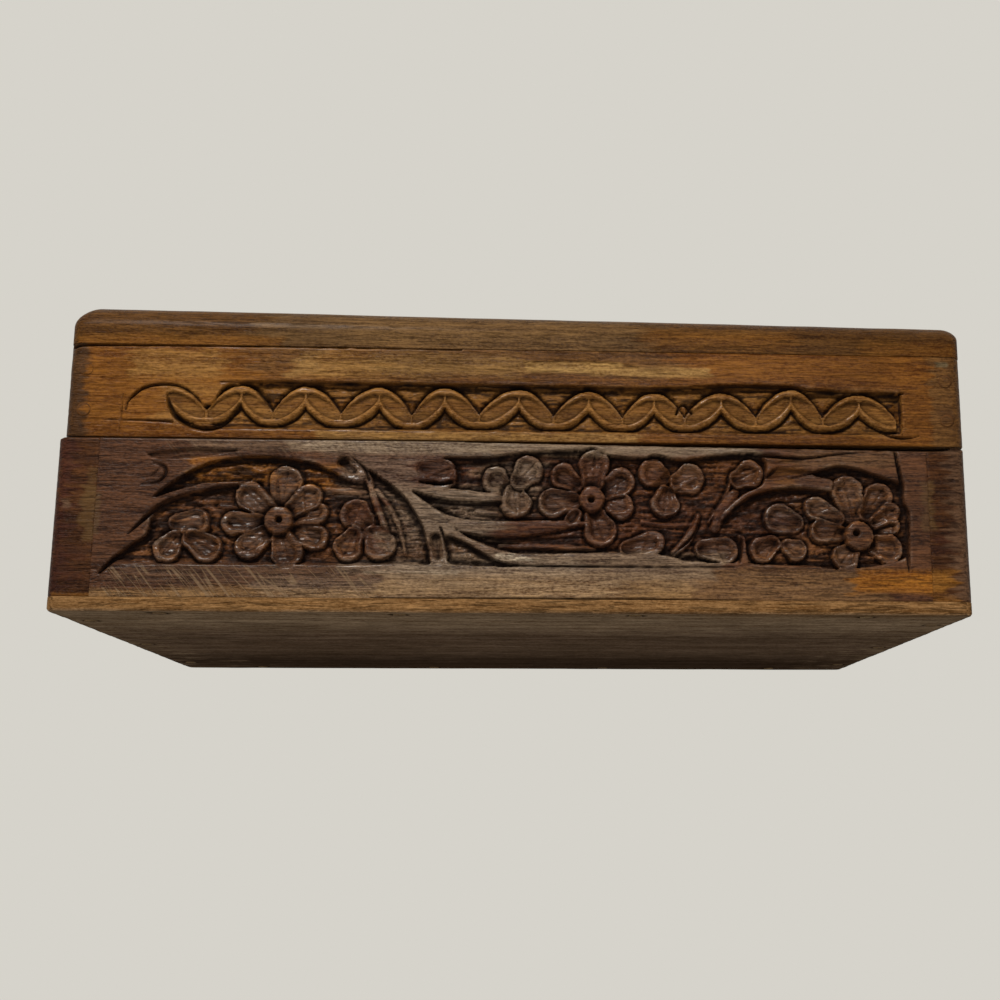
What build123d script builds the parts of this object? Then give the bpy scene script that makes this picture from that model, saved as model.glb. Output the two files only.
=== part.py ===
from build123d import *
import os
from math import atan2, cos, degrees, hypot, radians, sin, tan

os.makedirs("parts", exist_ok=True)

# All sizes are in millimetres. The box stands on its underside, +Z up, front towards -Y,
# with the origin at the middle of the underside.

# Overall sizes
box_width = 152.0
box_depth = 102.0
base_height = 28.8
lid_height = 23.5
seam_gap = 0.2  # the shut lid's rim clears the base's rim by this much
lid_left_inset = 0.9  # the lid is a little narrower than the base, flush on the right

# Boards
bottom_thickness = 2.3
base_end_thickness = 7.0
base_long_thickness = 8.0
lid_end_thickness = 6.0
lid_long_thickness = 8.0
lid_top_thickness = 7.5
base_corner_radius = 2.0
lid_corner_radius = 2.0
lid_edge_radius = 5.0

# Brads, all driven flush
brad_radius = 0.6
brad_length = 14.0
shank_sides = 8  # brads and nails are cut from square wire with broken corners
shank_clearance = 0.03
bottom_brad_inset = 3.5  # from the underside's edges
bottom_long_brad_count = 4  # along the front and along the back
bottom_long_brad_margin = 17.5  # from the box's ends to the outer ones
bottom_end_brad_count = 3  # along each end
bottom_end_brad_margin = 14.0  # from the front and the back to the outer ones
corner_brad_count = 2  # one above the other at each corner
base_corner_brad_spacing = 12.0
lid_corner_brad_spacing = 7.0

# Butt hinges, let into the back edges of the base and the lid
hinge_length = 20.0
hinge_end_distance = 31.0  # from the box's ends to the hinges' middles
knuckle_radius = 1.5
knuckle_gap = 0.15  # endways, between neighbouring knuckles
knuckle_swing_gap = 0.2  # round a knuckle, to the wood and to the other leaf
pin_radius = 0.6
pin_clearance = 0.04
leaf_thickness = 0.9
leaf_reach = 6.0  # from the pin's axis to the leaf's inner edge
nail_radius = 0.5
nail_length = 8.0
nail_spacing = 11.0
lid_opening = 100.0  # degrees: here the bevels on the back edges meet and stop the lid
bevel_clearance = 0.1

# Relief carving
carving_depth = 1.3  # from a board's face to the sunk ground
motif_height = 1.1  # flowers, stems and leaves, above the ground
petal_length = 5.4
petal_width = 4.4
lobe_length = 5.2
lobe_width = 4.4
blossom_disc_radius = 2.3
disc_sides = 10
bend_sides = 8  # the rounded turns of the wave
blossom_ring = 5.6  # from the blossom's middle to the middle of a petal
trefoil_ring = 3.0
stem_width = 1.5
ground_corner_radius = 2.0

# Wave band round the lid
wave_pitch = 11.7
wave_ribbon_width = 3.3
wave_rise = 4.6  # of the ribbon's middle line
wave_vein_width = 0.9
wave_vein_depth = 0.6
band_margin = 0.4  # of sunk ground above and below the wave
band_low = 2.1  # above the lid's rim
band_end_margin = 10.2  # from the lid's corner to the band's end

# Base front panel
panel_left_margin = 9.0
panel_right_margin = 10.6
panel_low = 7.6  # above the underside
panel_top_margin = 2.2

# Base end panels
end_panel_margin = 13.0

# Lid top panel
top_panel_margin = 14.0
cross_height = 44.0
cross_width = 30.0
cross_arm = 7.5
cross_drop = 7.0  # from the cross's middle up to its arms
top_stem_width = 2.0

# Places that follow from the sizes above
right_side = box_width / 2
left_side = -right_side
back_face = box_depth / 2
front_face = -back_face
lid_left_side = left_side + lid_left_inset
lid_width = right_side - lid_left_side
lid_middle = (right_side + lid_left_side) / 2
lid_rim = base_height + seam_gap
rail_height = lid_height - lid_top_thickness
rail_top = lid_rim + rail_height
wall_height = base_height - bottom_thickness
wall_middle = bottom_thickness + wall_height / 2
rail_middle = lid_rim + rail_height / 2
base_inner_width = box_width - 2 * base_end_thickness
lid_inner_depth = box_depth - 2 * lid_long_thickness
hinge_y = back_face - knuckle_radius
hinge_z = base_height + seam_gap / 2
hinge_places = {
    "left": left_side + hinge_end_distance,
    "right": right_side - hinge_end_distance,
}
bevel_angle = radians(lid_opening / 2)
bevel_run = knuckle_radius + bevel_clearance
bevel_drop = bevel_run * tan(bevel_angle)


def write(part, name):
    """Label a finished piece and write its STEP file."""
    part.label = name
    export_step(part, f"parts/{name}.step")


def row(count, spacing):
    """Places of a row of equal steps about zero."""
    return [(i - (count - 1) / 2) * spacing for i in range(count)]


def fitted_row(count, length, margin):
    """Places of a row about zero whose outer ones keep a margin from a length's ends."""
    return row(count, (length - 2 * margin) / (count - 1))


def shank(radius, length):
    """A headless brad or nail along -Z, driven flush with the level zero."""
    with BuildPart() as pin:
        with BuildSketch():
            RegularPolygon(radius, shank_sides)
        extrude(amount=-length)
    return pin.part


brad = shank(brad_radius, brad_length)
brad_hole = shank(brad_radius + shank_clearance, brad_length + shank_clearance)
nail = shank(nail_radius, nail_length)
nail_hole = shank(nail_radius + shank_clearance, nail_length + shank_clearance)

# Where the brads and nails stand: a plane each, its normal pointing out of the head
bottom_brad_planes = [
    Plane(origin=(x, side * (back_face - bottom_brad_inset), 0), z_dir=(0, 0, -1))
    for side in (-1, 1)
    for x in fitted_row(bottom_long_brad_count, box_width, bottom_long_brad_margin)
] + [
    Plane(origin=(side * (right_side - bottom_brad_inset), y, 0), z_dir=(0, 0, -1))
    for side in (-1, 1)
    for y in fitted_row(bottom_end_brad_count, box_depth, bottom_end_brad_margin)
]
base_corner_brad_planes = [
    Plane(
        origin=(
            side * right_side,
            end * (back_face - base_long_thickness / 2),
            wall_middle + step,
        ),
        z_dir=(side, 0, 0),
    )
    for side in (-1, 1)
    for end in (-1, 1)
    for step in row(corner_brad_count, base_corner_brad_spacing)
]
lid_corner_brad_planes = [
    Plane(origin=(x, end * back_face, rail_middle + step), z_dir=(0, end, 0))
    for x in (lid_left_side + lid_end_thickness / 2, right_side - lid_end_thickness / 2)
    for end in (-1, 1)
    for step in row(corner_brad_count, lid_corner_brad_spacing)
]
nail_y = hinge_y - (leaf_reach + knuckle_radius) / 2
base_nail_planes = [
    Plane(origin=(place + x, nail_y, base_height), z_dir=(0, 0, 1))
    for place in hinge_places.values()
    for x in row(2, nail_spacing)
]
lid_nail_planes = [
    Plane(origin=(place + x, nail_y, lid_rim), z_dir=(0, 0, -1))
    for place in hinge_places.values()
    for x in row(2, nail_spacing)
]


def driven(shape, planes):
    """Copies of a nail, or of its hole, one at each plane."""
    return [plane.location * shape for plane in planes]


def petal(length, width):
    """A petal along +X about the current location, narrow at its root, six chisel cuts."""
    root, shoulder, tip = -length / 2, length / 8, length / 2
    Polygon(
        (root, -width / 4),
        (shoulder, -width / 2),
        (tip, -width / 4),
        (tip, width / 4),
        (shoulder, width / 2),
        (root, width / 4),
        align=None,
    )


def blossom(petals, first_angle, ring=blossom_ring):
    """Petals round a disc, about the current location."""
    with PolarLocations(ring, petals, start_angle=first_angle):
        petal(petal_length, petal_width)
    RegularPolygon(blossom_disc_radius, disc_sides)


def trefoil(first_angle):
    """Three lobes about the current location."""
    with PolarLocations(trefoil_ring, 3, start_angle=first_angle):
        petal(lobe_length, lobe_width)


def leaf(start, end, width):
    """A leaf from start to end, pointed at both, six chisel cuts."""
    length = hypot(end[0] - start[0], end[1] - start[1])
    with BuildSketch(mode=Mode.PRIVATE) as blade:
        Polygon(
            (0, 0),
            (length / 3, -width / 2),
            (2 * length / 3, -width / 2),
            (length, 0),
            (2 * length / 3, width / 2),
            (length / 3, width / 2),
            align=None,
        )
    turn = degrees(atan2(end[1] - start[1], end[0] - start[0]))
    return Location((start[0], start[1], 0), (0, 0, turn)) * blade.sketch


def stem(start, middle, end, width=stem_width):
    """A stem of even width along an arc through three points."""
    with BuildSketch(mode=Mode.PRIVATE) as strand:
        with BuildLine():
            ThreePointArc(start, middle, end)
        trace(line_width=width)
    return strand.sketch


def wave_arms(length):
    """Place, length and slope of each arm of a zigzag wave about the origin."""
    half = wave_pitch / 2
    arms = int((length - wave_ribbon_width) / half)
    arm_length = hypot(half, wave_rise)
    arm_angle = degrees(atan2(wave_rise, half))
    return [
        (x, arm_length, arm_angle if i % 2 else -arm_angle)
        for i, x in enumerate(row(arms, half))
    ]


def carve_wave(face, length, board):
    """Cut the wave band into a board: sunk ground, raised ribbon, veined arms."""
    arms = wave_arms(length)
    height = wave_rise + wave_ribbon_width + 2 * band_margin
    with BuildPart(mode=Mode.PRIVATE) as carved:
        add(board)
        with BuildSketch(face):
            Rectangle(length, height)
            for x, arm_length, arm_angle in arms:
                with Locations((x, 0)):
                    Rectangle(
                        arm_length,
                        wave_ribbon_width,
                        rotation=arm_angle,
                        mode=Mode.SUBTRACT,
                    )
                for end in (-1, 1):
                    bend = (x + end * wave_pitch / 4, end * arm_angle / abs(arm_angle) * wave_rise / 2)
                    with Locations(bend):
                        RegularPolygon(wave_ribbon_width / 2, bend_sides, mode=Mode.SUBTRACT)
        extrude(amount=-carving_depth, mode=Mode.SUBTRACT)
        with BuildSketch(face):
            for x, arm_length, arm_angle in arms:
                with Locations((x, 0)):
                    Rectangle(
                        arm_length - wave_ribbon_width / 2,
                        wave_vein_width,
                        rotation=arm_angle,
                    )
        extrude(amount=-wave_vein_depth, mode=Mode.SUBTRACT)
    return carved.part


def back_bevel(into, first_x, last_x):
    """The wedge cut off a back edge: its slope runs just inside the hinge line."""
    with BuildPart() as wedge:
        with BuildSketch(Plane.YZ.offset(first_x)):
            Polygon(
                (back_face - bevel_run, hinge_z),
                (back_face + bevel_run, hinge_z),
                (back_face + bevel_run, hinge_z + into * 2 * bevel_drop),
                align=None,
            )
        extrude(amount=last_x - first_x)
    return wedge.part


def hinge_recess(rim, into):
    """The let-in beds of both leaves in a back edge, with room for the knuckles."""
    with BuildPart() as recess:
        for place in hinge_places.values():
            with BuildSketch(Plane.XY.offset(rim)):
                with Locations((place, hinge_y - leaf_reach / 2)):
                    Rectangle(hinge_length, leaf_reach)
            extrude(amount=into * leaf_thickness)
            with BuildSketch(Plane.YZ.offset(place - hinge_length / 2 - knuckle_gap)):
                with Locations((hinge_y, hinge_z)):
                    Circle(knuckle_radius + knuckle_swing_gap)
            extrude(amount=hinge_length + 2 * knuckle_gap)
    return recess.part


# Bottom panel: thin board under the four walls
with BuildPart() as bottom_panel:
    with BuildSketch():
        RectangleRounded(box_width, box_depth, base_corner_radius)
    extrude(amount=bottom_thickness)
    add(driven(brad_hole, bottom_brad_planes), mode=Mode.SUBTRACT)
write(bottom_panel.part, "bottom_panel")

# Base front board, carved: three sunk grounds, left, middle and right, with the flowers,
# leaves and stems standing in them. The drawing's points are shares of the panel.
panel_left = left_side + panel_left_margin
panel_right = right_side - panel_right_margin
panel_top = base_height - panel_top_margin
front_plane = Plane(origin=(0, front_face, 0), x_dir=(1, 0, 0), z_dir=(0, -1, 0))


def on_panel(across, up):
    """A point of the front panel from its shares of the panel's length and height."""
    return (
        panel_left + across * (panel_right - panel_left),
        panel_low + up * (panel_top - panel_low),
    )


with BuildPart() as base_front_board:
    with BuildSketch(Plane.XY.offset(bottom_thickness)):
        with Locations((0, front_face + base_long_thickness / 2)):
            Rectangle(base_inner_width, base_long_thickness)
    extrude(amount=wall_height)
    with BuildSketch(front_plane) as left_ground:
        with BuildLine():
            ThreePointArc(on_panel(0, 0), on_panel(0.06, 0.42), on_panel(0.17, 0.92))
            ThreePointArc(on_panel(0.17, 0.92), on_panel(0.25, 0.9), on_panel(0.3, 0.74))
            ThreePointArc(on_panel(0.3, 0.74), on_panel(0.37, 0.4), on_panel(0.39, 0))
            Line(on_panel(0.39, 0), on_panel(0, 0))
        make_face()
    extrude(amount=-carving_depth, mode=Mode.SUBTRACT)
    with BuildSketch(front_plane) as middle_ground:
        with BuildLine():
            ThreePointArc(on_panel(0.42, 0.02), on_panel(0.4, 0.4), on_panel(0.36, 0.66))
            Line(on_panel(0.36, 0.66), on_panel(0.4, 0.97))
            Line(on_panel(0.4, 0.97), on_panel(0.81, 1))
            ThreePointArc(on_panel(0.81, 1), on_panel(0.79, 0.5), on_panel(0.73, 0.02))
            Line(on_panel(0.73, 0.02), on_panel(0.42, 0.02))
        make_face()
    extrude(amount=-carving_depth, mode=Mode.SUBTRACT)
    with BuildSketch(front_plane) as right_ground:
        with BuildLine():
            ThreePointArc(on_panel(0.77, 0.02), on_panel(0.83, 0.62), on_panel(1, 0.74))
            Line(on_panel(1, 0.74), on_panel(1, 0.02))
            Line(on_panel(1, 0.02), on_panel(0.77, 0.02))
        make_face()
    extrude(amount=-carving_depth, mode=Mode.SUBTRACT)
    with BuildSketch(front_plane.offset(-carving_depth)) as front_motifs:
        with Locations(on_panel(0.205, 0.4)):
            blossom(8, 80)
        with Locations(on_panel(0.6, 0.6)):
            blossom(6, 28)
        with Locations(on_panel(0.94, 0.33)):
            blossom(7, 20, ring=blossom_ring * 0.9)
        with Locations(on_panel(0.09, 0.24), on_panel(0.31, 0.27), on_panel(0.83, 0.3)):
            trefoil(90)
        with Locations(on_panel(0.49, 0.77)):
            trefoil(50)
        with Locations(on_panel(0.7, 0.75)):
            trefoil(130)
        add(leaf(on_panel(0.76, 0.68), on_panel(0.805, 0.99), lobe_width))
        add(leaf(on_panel(0.65, 0.16), on_panel(0.71, 0.22), lobe_width))
        add(leaf(on_panel(0.06, 0.3), on_panel(0.15, 0.66), stem_width))
        add(stem(on_panel(0.36, 0.62), on_panel(0.41, 0.6), on_panel(0.47, 0.58)))
        add(stem(on_panel(0.4, 0.42), on_panel(0.47, 0.27), on_panel(0.57, 0.33)))
        add(stem(on_panel(0.4, 0.3), on_panel(0.5, 0.06), on_panel(0.73, 0.06)))
        add(stem(on_panel(0.73, 0.06), on_panel(0.76, 0.3), on_panel(0.77, 0.7)))
    extrude(front_motifs.sketch, amount=motif_height, dir=(0, -1, 0))
    add(driven(brad_hole, bottom_brad_planes + base_corner_brad_planes), mode=Mode.SUBTRACT)
write(base_front_board.part, "base_front_board")

# Base back board: plain, with the beds of the two hinges in its bevelled top edge
with BuildPart() as base_back_board:
    with BuildSketch(Plane.XY.offset(bottom_thickness)):
        with Locations((0, back_face - base_long_thickness / 2)):
            Rectangle(base_inner_width, base_long_thickness)
    extrude(amount=wall_height)
    add(back_bevel(-1, left_side, right_side), mode=Mode.SUBTRACT)
    add(hinge_recess(base_height, -1), mode=Mode.SUBTRACT)
    add(driven(brad_hole, bottom_brad_planes + base_corner_brad_planes), mode=Mode.SUBTRACT)
    add(driven(nail_hole, base_nail_planes), mode=Mode.SUBTRACT)
write(base_back_board.part, "base_back_board")


def end_board(side):
    """A carved end board of the base: a blossom between two trefoils and four leaves."""
    outer = Plane(
        origin=(side * right_side, 0, panel_low + (panel_top - panel_low) / 2),
        x_dir=(0, side, 0),
        z_dir=(side, 0, 0),
    )
    half_length = back_face - end_panel_margin
    half_height = (panel_top - panel_low) / 2
    with BuildPart(mode=Mode.PRIVATE) as board:
        with BuildSketch(Plane.XY.offset(bottom_thickness)):
            RectangleRounded(box_width, box_depth, base_corner_radius)
            with Locations((-side * base_end_thickness, 0)):
                Rectangle(box_width, box_depth, mode=Mode.SUBTRACT)
        extrude(amount=wall_height)
        add(back_bevel(-1, left_side, right_side), mode=Mode.SUBTRACT)
        with BuildSketch(outer):
            SlotOverall(2 * half_length, 2 * half_height)
        extrude(amount=-carving_depth, mode=Mode.SUBTRACT)
        with BuildSketch(outer.offset(-carving_depth)) as motifs:
            blossom(8, 0)
            for turn in (-1, 1):
                with Locations((turn * half_length * 0.64, 0)):
                    trefoil(90 - turn * 90)
                for rise in (-1, 1):
                    tip = (turn * half_length * 0.55, rise * half_height * 0.78)
                    root = (turn * blossom_ring * 1.9, rise * half_height * 0.2)
                    add(leaf(root, tip, lobe_width))
        extrude(motifs.sketch, amount=motif_height, dir=(side, 0, 0))
        add(driven(brad_hole, bottom_brad_planes + base_corner_brad_planes), mode=Mode.SUBTRACT)
    return board.part


write(end_board(-1), "base_left_board")
write(end_board(1), "base_right_board")

# Brads of the base: through the underside, and through the end boards at the corners
with BuildPart() as bottom_brads:
    add(driven(brad, bottom_brad_planes))
write(bottom_brads.part, "bottom_brads")

with BuildPart() as base_corner_brads:
    add(driven(brad, base_corner_brad_planes))
write(base_corner_brads.part, "base_corner_brads")


def lid_outline(radius):
    """The lid's outline in plan, about the origin's level."""
    with BuildSketch(mode=Mode.PRIVATE) as outline:
        with Locations((lid_middle, 0)):
            RectangleRounded(lid_width, box_depth, radius)
    return outline.sketch


def long_rail(side):
    """The front (side -1) or back (side 1) rail of the lid, the full width of the lid."""
    with BuildPart(mode=Mode.PRIVATE) as rail:
        with BuildSketch(Plane.XY.offset(lid_rim)):
            add(lid_outline(lid_corner_radius))
            with Locations((0, -side * lid_long_thickness)):
                Rectangle(2 * box_width, box_depth, mode=Mode.SUBTRACT)
        extrude(amount=rail_height)
        add(driven(brad_hole, lid_corner_brad_planes), mode=Mode.SUBTRACT)
    return rail.part


# Lid front rail: the wave band runs nearly its whole width
wave_height = wave_rise + wave_ribbon_width + 2 * band_margin
wave_level = lid_rim + band_low + wave_height / 2
lid_band_plane = Plane(
    origin=(lid_middle, front_face, wave_level), x_dir=(1, 0, 0), z_dir=(0, -1, 0)
)
lid_front_rail = carve_wave(lid_band_plane, lid_width - 2 * band_end_margin, long_rail(-1))
write(lid_front_rail, "lid_front_rail")

# Lid back rail: plain, with the lid's half of the bevel and of the hinge beds
with BuildPart() as lid_back_rail:
    add(long_rail(1))
    add(back_bevel(1, left_side, right_side), mode=Mode.SUBTRACT)
    add(hinge_recess(lid_rim, 1), mode=Mode.SUBTRACT)
    add(driven(nail_hole, lid_nail_planes), mode=Mode.SUBTRACT)
write(lid_back_rail.part, "lid_back_rail")


def end_rail(side):
    """An end rail of the lid, between the long rails, with the wave band carved in it."""
    outer_x = right_side if side > 0 else lid_left_side
    face = Plane(origin=(outer_x, 0, wave_level), x_dir=(0, side, 0), z_dir=(side, 0, 0))
    with BuildPart(mode=Mode.PRIVATE) as rail:
        with BuildSketch(Plane.XY.offset(lid_rim)):
            with Locations((outer_x - side * lid_end_thickness / 2, 0)):
                Rectangle(lid_end_thickness, lid_inner_depth)
        extrude(amount=rail_height)
        add(driven(brad_hole, lid_corner_brad_planes), mode=Mode.SUBTRACT)
    return carve_wave(face, box_depth - 2 * band_end_margin, rail.part)


write(end_rail(-1), "lid_left_rail")
write(end_rail(1), "lid_right_rail")

with BuildPart() as lid_corner_brads:
    add(driven(brad, lid_corner_brad_planes))
write(lid_corner_brads.part, "lid_corner_brads")

# Lid top board: rounded over by hand all round, a cross and four sprays in a sunk panel
top_face = rail_top + lid_top_thickness
top_plane = Plane(origin=(lid_middle, 0, top_face))
half_panel_length = lid_width / 2 - top_panel_margin
half_panel_depth = back_face - top_panel_margin


def top_place(across, up):
    """A point of the top panel from its shares of the panel's half length and depth."""
    return across * half_panel_length, up * half_panel_depth


# One quarter of the panel's drawing: the others are its mirror images
top_stems = [
    [(0.15, 0.78), (0.34, 0.77), (0.52, 0.57)],
    [(0.29, 0.11), (0.39, 0.12), (0.5, 0.27)],
    [(0.93, 0.05), (0.91, 0.27), (0.86, 0.5)],
]
top_leaves = [
    [(0.23, 0.6), (0.41, 0.47)],
    [(0.32, 0.88), (0.5, 0.9)],
    [(0.81, 0.07), (0.83, 0.32)],
]
with BuildPart() as lid_top_board:
    with BuildSketch(Plane.XY.offset(rail_top)):
        add(lid_outline(lid_corner_radius))
    extrude(amount=lid_top_thickness)
    fillet(lid_top_board.faces().sort_by(Axis.Z)[-1].edges(), lid_edge_radius)
    with BuildSketch(top_plane):
        RectangleRounded(2 * half_panel_length, 2 * half_panel_depth, ground_corner_radius)
    extrude(amount=-carving_depth, mode=Mode.SUBTRACT)
    with BuildSketch(top_plane.offset(-carving_depth)) as top_motifs:
        Rectangle(cross_arm, cross_height)
        with Locations((0, cross_drop)):
            Rectangle(cross_width, cross_arm)
        for turn in (-1, 1):
            for rise in (-1, 1):
                with Locations(top_place(turn * 0.62, rise * 0.42)):
                    blossom(6, 30)
                with Locations(top_place(turn * 0.86, rise * 0.74)):
                    trefoil(rise * 90)
                for points in top_stems:
                    add(stem(*[top_place(turn * x, rise * y) for x, y in points], top_stem_width))
                for points in top_leaves:
                    add(leaf(*[top_place(turn * x, rise * y) for x, y in points], lobe_width))
    extrude(top_motifs.sketch, amount=motif_height)
write(lid_top_board.part, "lid_top_board")


def knuckle_spans(place):
    """The base leaf's two outer knuckles and the lid leaf's middle one, along X."""
    third = hinge_length / 3
    start = place - hinge_length / 2
    outer = [(start, start + third), (start + 2 * third, start + hinge_length)]
    middle = [(start + third + knuckle_gap, start + 2 * third - knuckle_gap)]
    return outer, middle


def hinge_leaf(place, rim, into, own_spans, other_spans):
    """A leaf: a flat plate rolled into knuckles round the pin's hole."""
    with BuildPart(mode=Mode.PRIVATE) as leaf_part:
        with BuildSketch(Plane.XY.offset(rim)):
            with Locations((place, hinge_y - leaf_reach / 2)):
                Rectangle(hinge_length, leaf_reach)
        extrude(amount=into * leaf_thickness)
        for start, end in other_spans:
            with BuildSketch(Plane.YZ.offset(start - knuckle_gap)):
                with Locations((hinge_y, hinge_z)):
                    Circle(knuckle_radius + knuckle_swing_gap)
            extrude(amount=end - start + 2 * knuckle_gap, mode=Mode.SUBTRACT)
        for start, end in own_spans:
            with BuildSketch(Plane.YZ.offset(start)):
                with Locations((hinge_y, hinge_z)):
                    Circle(knuckle_radius)
            extrude(amount=end - start)
        with BuildSketch(Plane.YZ.offset(place - hinge_length)):
            with Locations((hinge_y, hinge_z)):
                Circle(pin_radius + pin_clearance)
        extrude(amount=2 * hinge_length, mode=Mode.SUBTRACT)
    return leaf_part.part


# Hinges: the base leaf holds the pin, and the lid leaf turns on it
for side_name, place in hinge_places.items():
    base_spans, lid_spans = knuckle_spans(place)
    base_leaf = hinge_leaf(place, base_height, -1, base_spans, lid_spans)
    lid_leaf = hinge_leaf(place, lid_rim, 1, lid_spans, base_spans)
    write(base_leaf - driven(nail_hole, base_nail_planes), f"{side_name}_hinge_base_leaf")
    write(lid_leaf - driven(nail_hole, lid_nail_planes), f"{side_name}_hinge_lid_leaf")
    with BuildPart() as hinge_pin:
        with BuildSketch(Plane.YZ.offset(place - hinge_length / 2)):
            with Locations((hinge_y, hinge_z)):
                Circle(pin_radius)
        extrude(amount=hinge_length)
    write(hinge_pin.part, f"{side_name}_hinge_pin")

with BuildPart() as hinge_base_nails:
    add(driven(nail, base_nail_planes))
write(hinge_base_nails.part, "hinge_base_nails")

with BuildPart() as hinge_lid_nails:
    add(driven(nail, lid_nail_planes))
write(hinge_lid_nails.part, "hinge_lid_nails")
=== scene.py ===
import math

import bmesh
import bpy
import numpy as np
from mathutils import Matrix, Vector


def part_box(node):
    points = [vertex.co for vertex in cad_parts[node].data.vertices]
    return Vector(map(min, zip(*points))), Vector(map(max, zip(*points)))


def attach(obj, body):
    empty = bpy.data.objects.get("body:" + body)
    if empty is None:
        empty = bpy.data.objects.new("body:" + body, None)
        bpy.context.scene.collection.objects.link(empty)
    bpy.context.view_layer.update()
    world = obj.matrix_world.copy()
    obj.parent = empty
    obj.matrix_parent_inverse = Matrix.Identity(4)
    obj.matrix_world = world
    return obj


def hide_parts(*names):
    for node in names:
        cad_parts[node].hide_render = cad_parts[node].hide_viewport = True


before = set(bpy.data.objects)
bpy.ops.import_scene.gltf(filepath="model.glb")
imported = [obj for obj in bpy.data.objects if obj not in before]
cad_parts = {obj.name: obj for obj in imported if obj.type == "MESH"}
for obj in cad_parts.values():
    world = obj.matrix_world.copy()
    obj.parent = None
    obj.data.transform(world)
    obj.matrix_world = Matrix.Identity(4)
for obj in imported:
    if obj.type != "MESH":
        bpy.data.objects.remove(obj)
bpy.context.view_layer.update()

mm = 0.001

# ---- Base front board -------------------------------------------------------------------
# Dark straight-grained hardwood, 8 mm thick, butted between the two end boards. The ground
# is sunk with gouge and chisel and punched, and the flowers, stems and leaves stand in it.


def random_field(x, z, step_x, step_z, seed):
    """Smooth noise from -1 to 1, with one random value every step_x by step_z mm."""
    columns, lines = 512, 256
    lattice = np.random.default_rng(seed).random((columns, lines)) * 2 - 1
    u, v = x / step_x + 2000, z / step_z + 1000
    column, line = np.floor(u).astype(int), np.floor(v).astype(int)
    a, b = u - column, v - line
    a, b = a * a * (3 - 2 * a), b * b * (3 - 2 * b)

    def value(i, j):
        return lattice[(column + i) % columns, (line + j) % lines]

    near = value(0, 0) * (1 - a) + value(1, 0) * a
    far = value(0, 1) * (1 - a) + value(1, 1) * a
    return near * (1 - b) + far * b


def soft_step(value, low, high):
    """0 at low, 1 at high, smooth between; high may be the smaller."""
    t = np.clip((value - low) / (high - low), 0, 1)
    return t * t * (3 - 2 * t)


def curve_through(points, closed=False, steps=6):
    """Points of a smooth curve through the given ones, widths along with places."""
    points = [np.array(p, float) for p in points]
    count = len(points)
    curve = []
    for i in range(count if closed else count - 1):
        if closed:
            before, start, end, after = (points[(i + k) % count] for k in (-1, 0, 1, 2))
        else:
            before, start = points[max(i - 1, 0)], points[i]
            end, after = points[i + 1], points[min(i + 2, count - 1)]
        for t in np.arange(steps) / steps:
            bend = (2 * before - 5 * start + 4 * end - after) * t
            twist = (3 * start - before - 3 * end + after) * t * t
            curve.append(start + 0.5 * t * (end - before + bend + twist))
    if not closed:
        curve.append(points[-1])
    return curve


def segment_distance(x, z, start, end):
    """Distance to a segment, and how far along it, 0 to 1, its nearest place lies."""
    dx, dz = end[0] - start[0], end[1] - start[1]
    along = ((x - start[0]) * dx + (z - start[1]) * dz) / max(dx * dx + dz * dz, 1e-9)
    along = np.clip(along, 0, 1)
    return np.hypot(x - start[0] - along * dx, z - start[1] - along * dz), along


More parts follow.
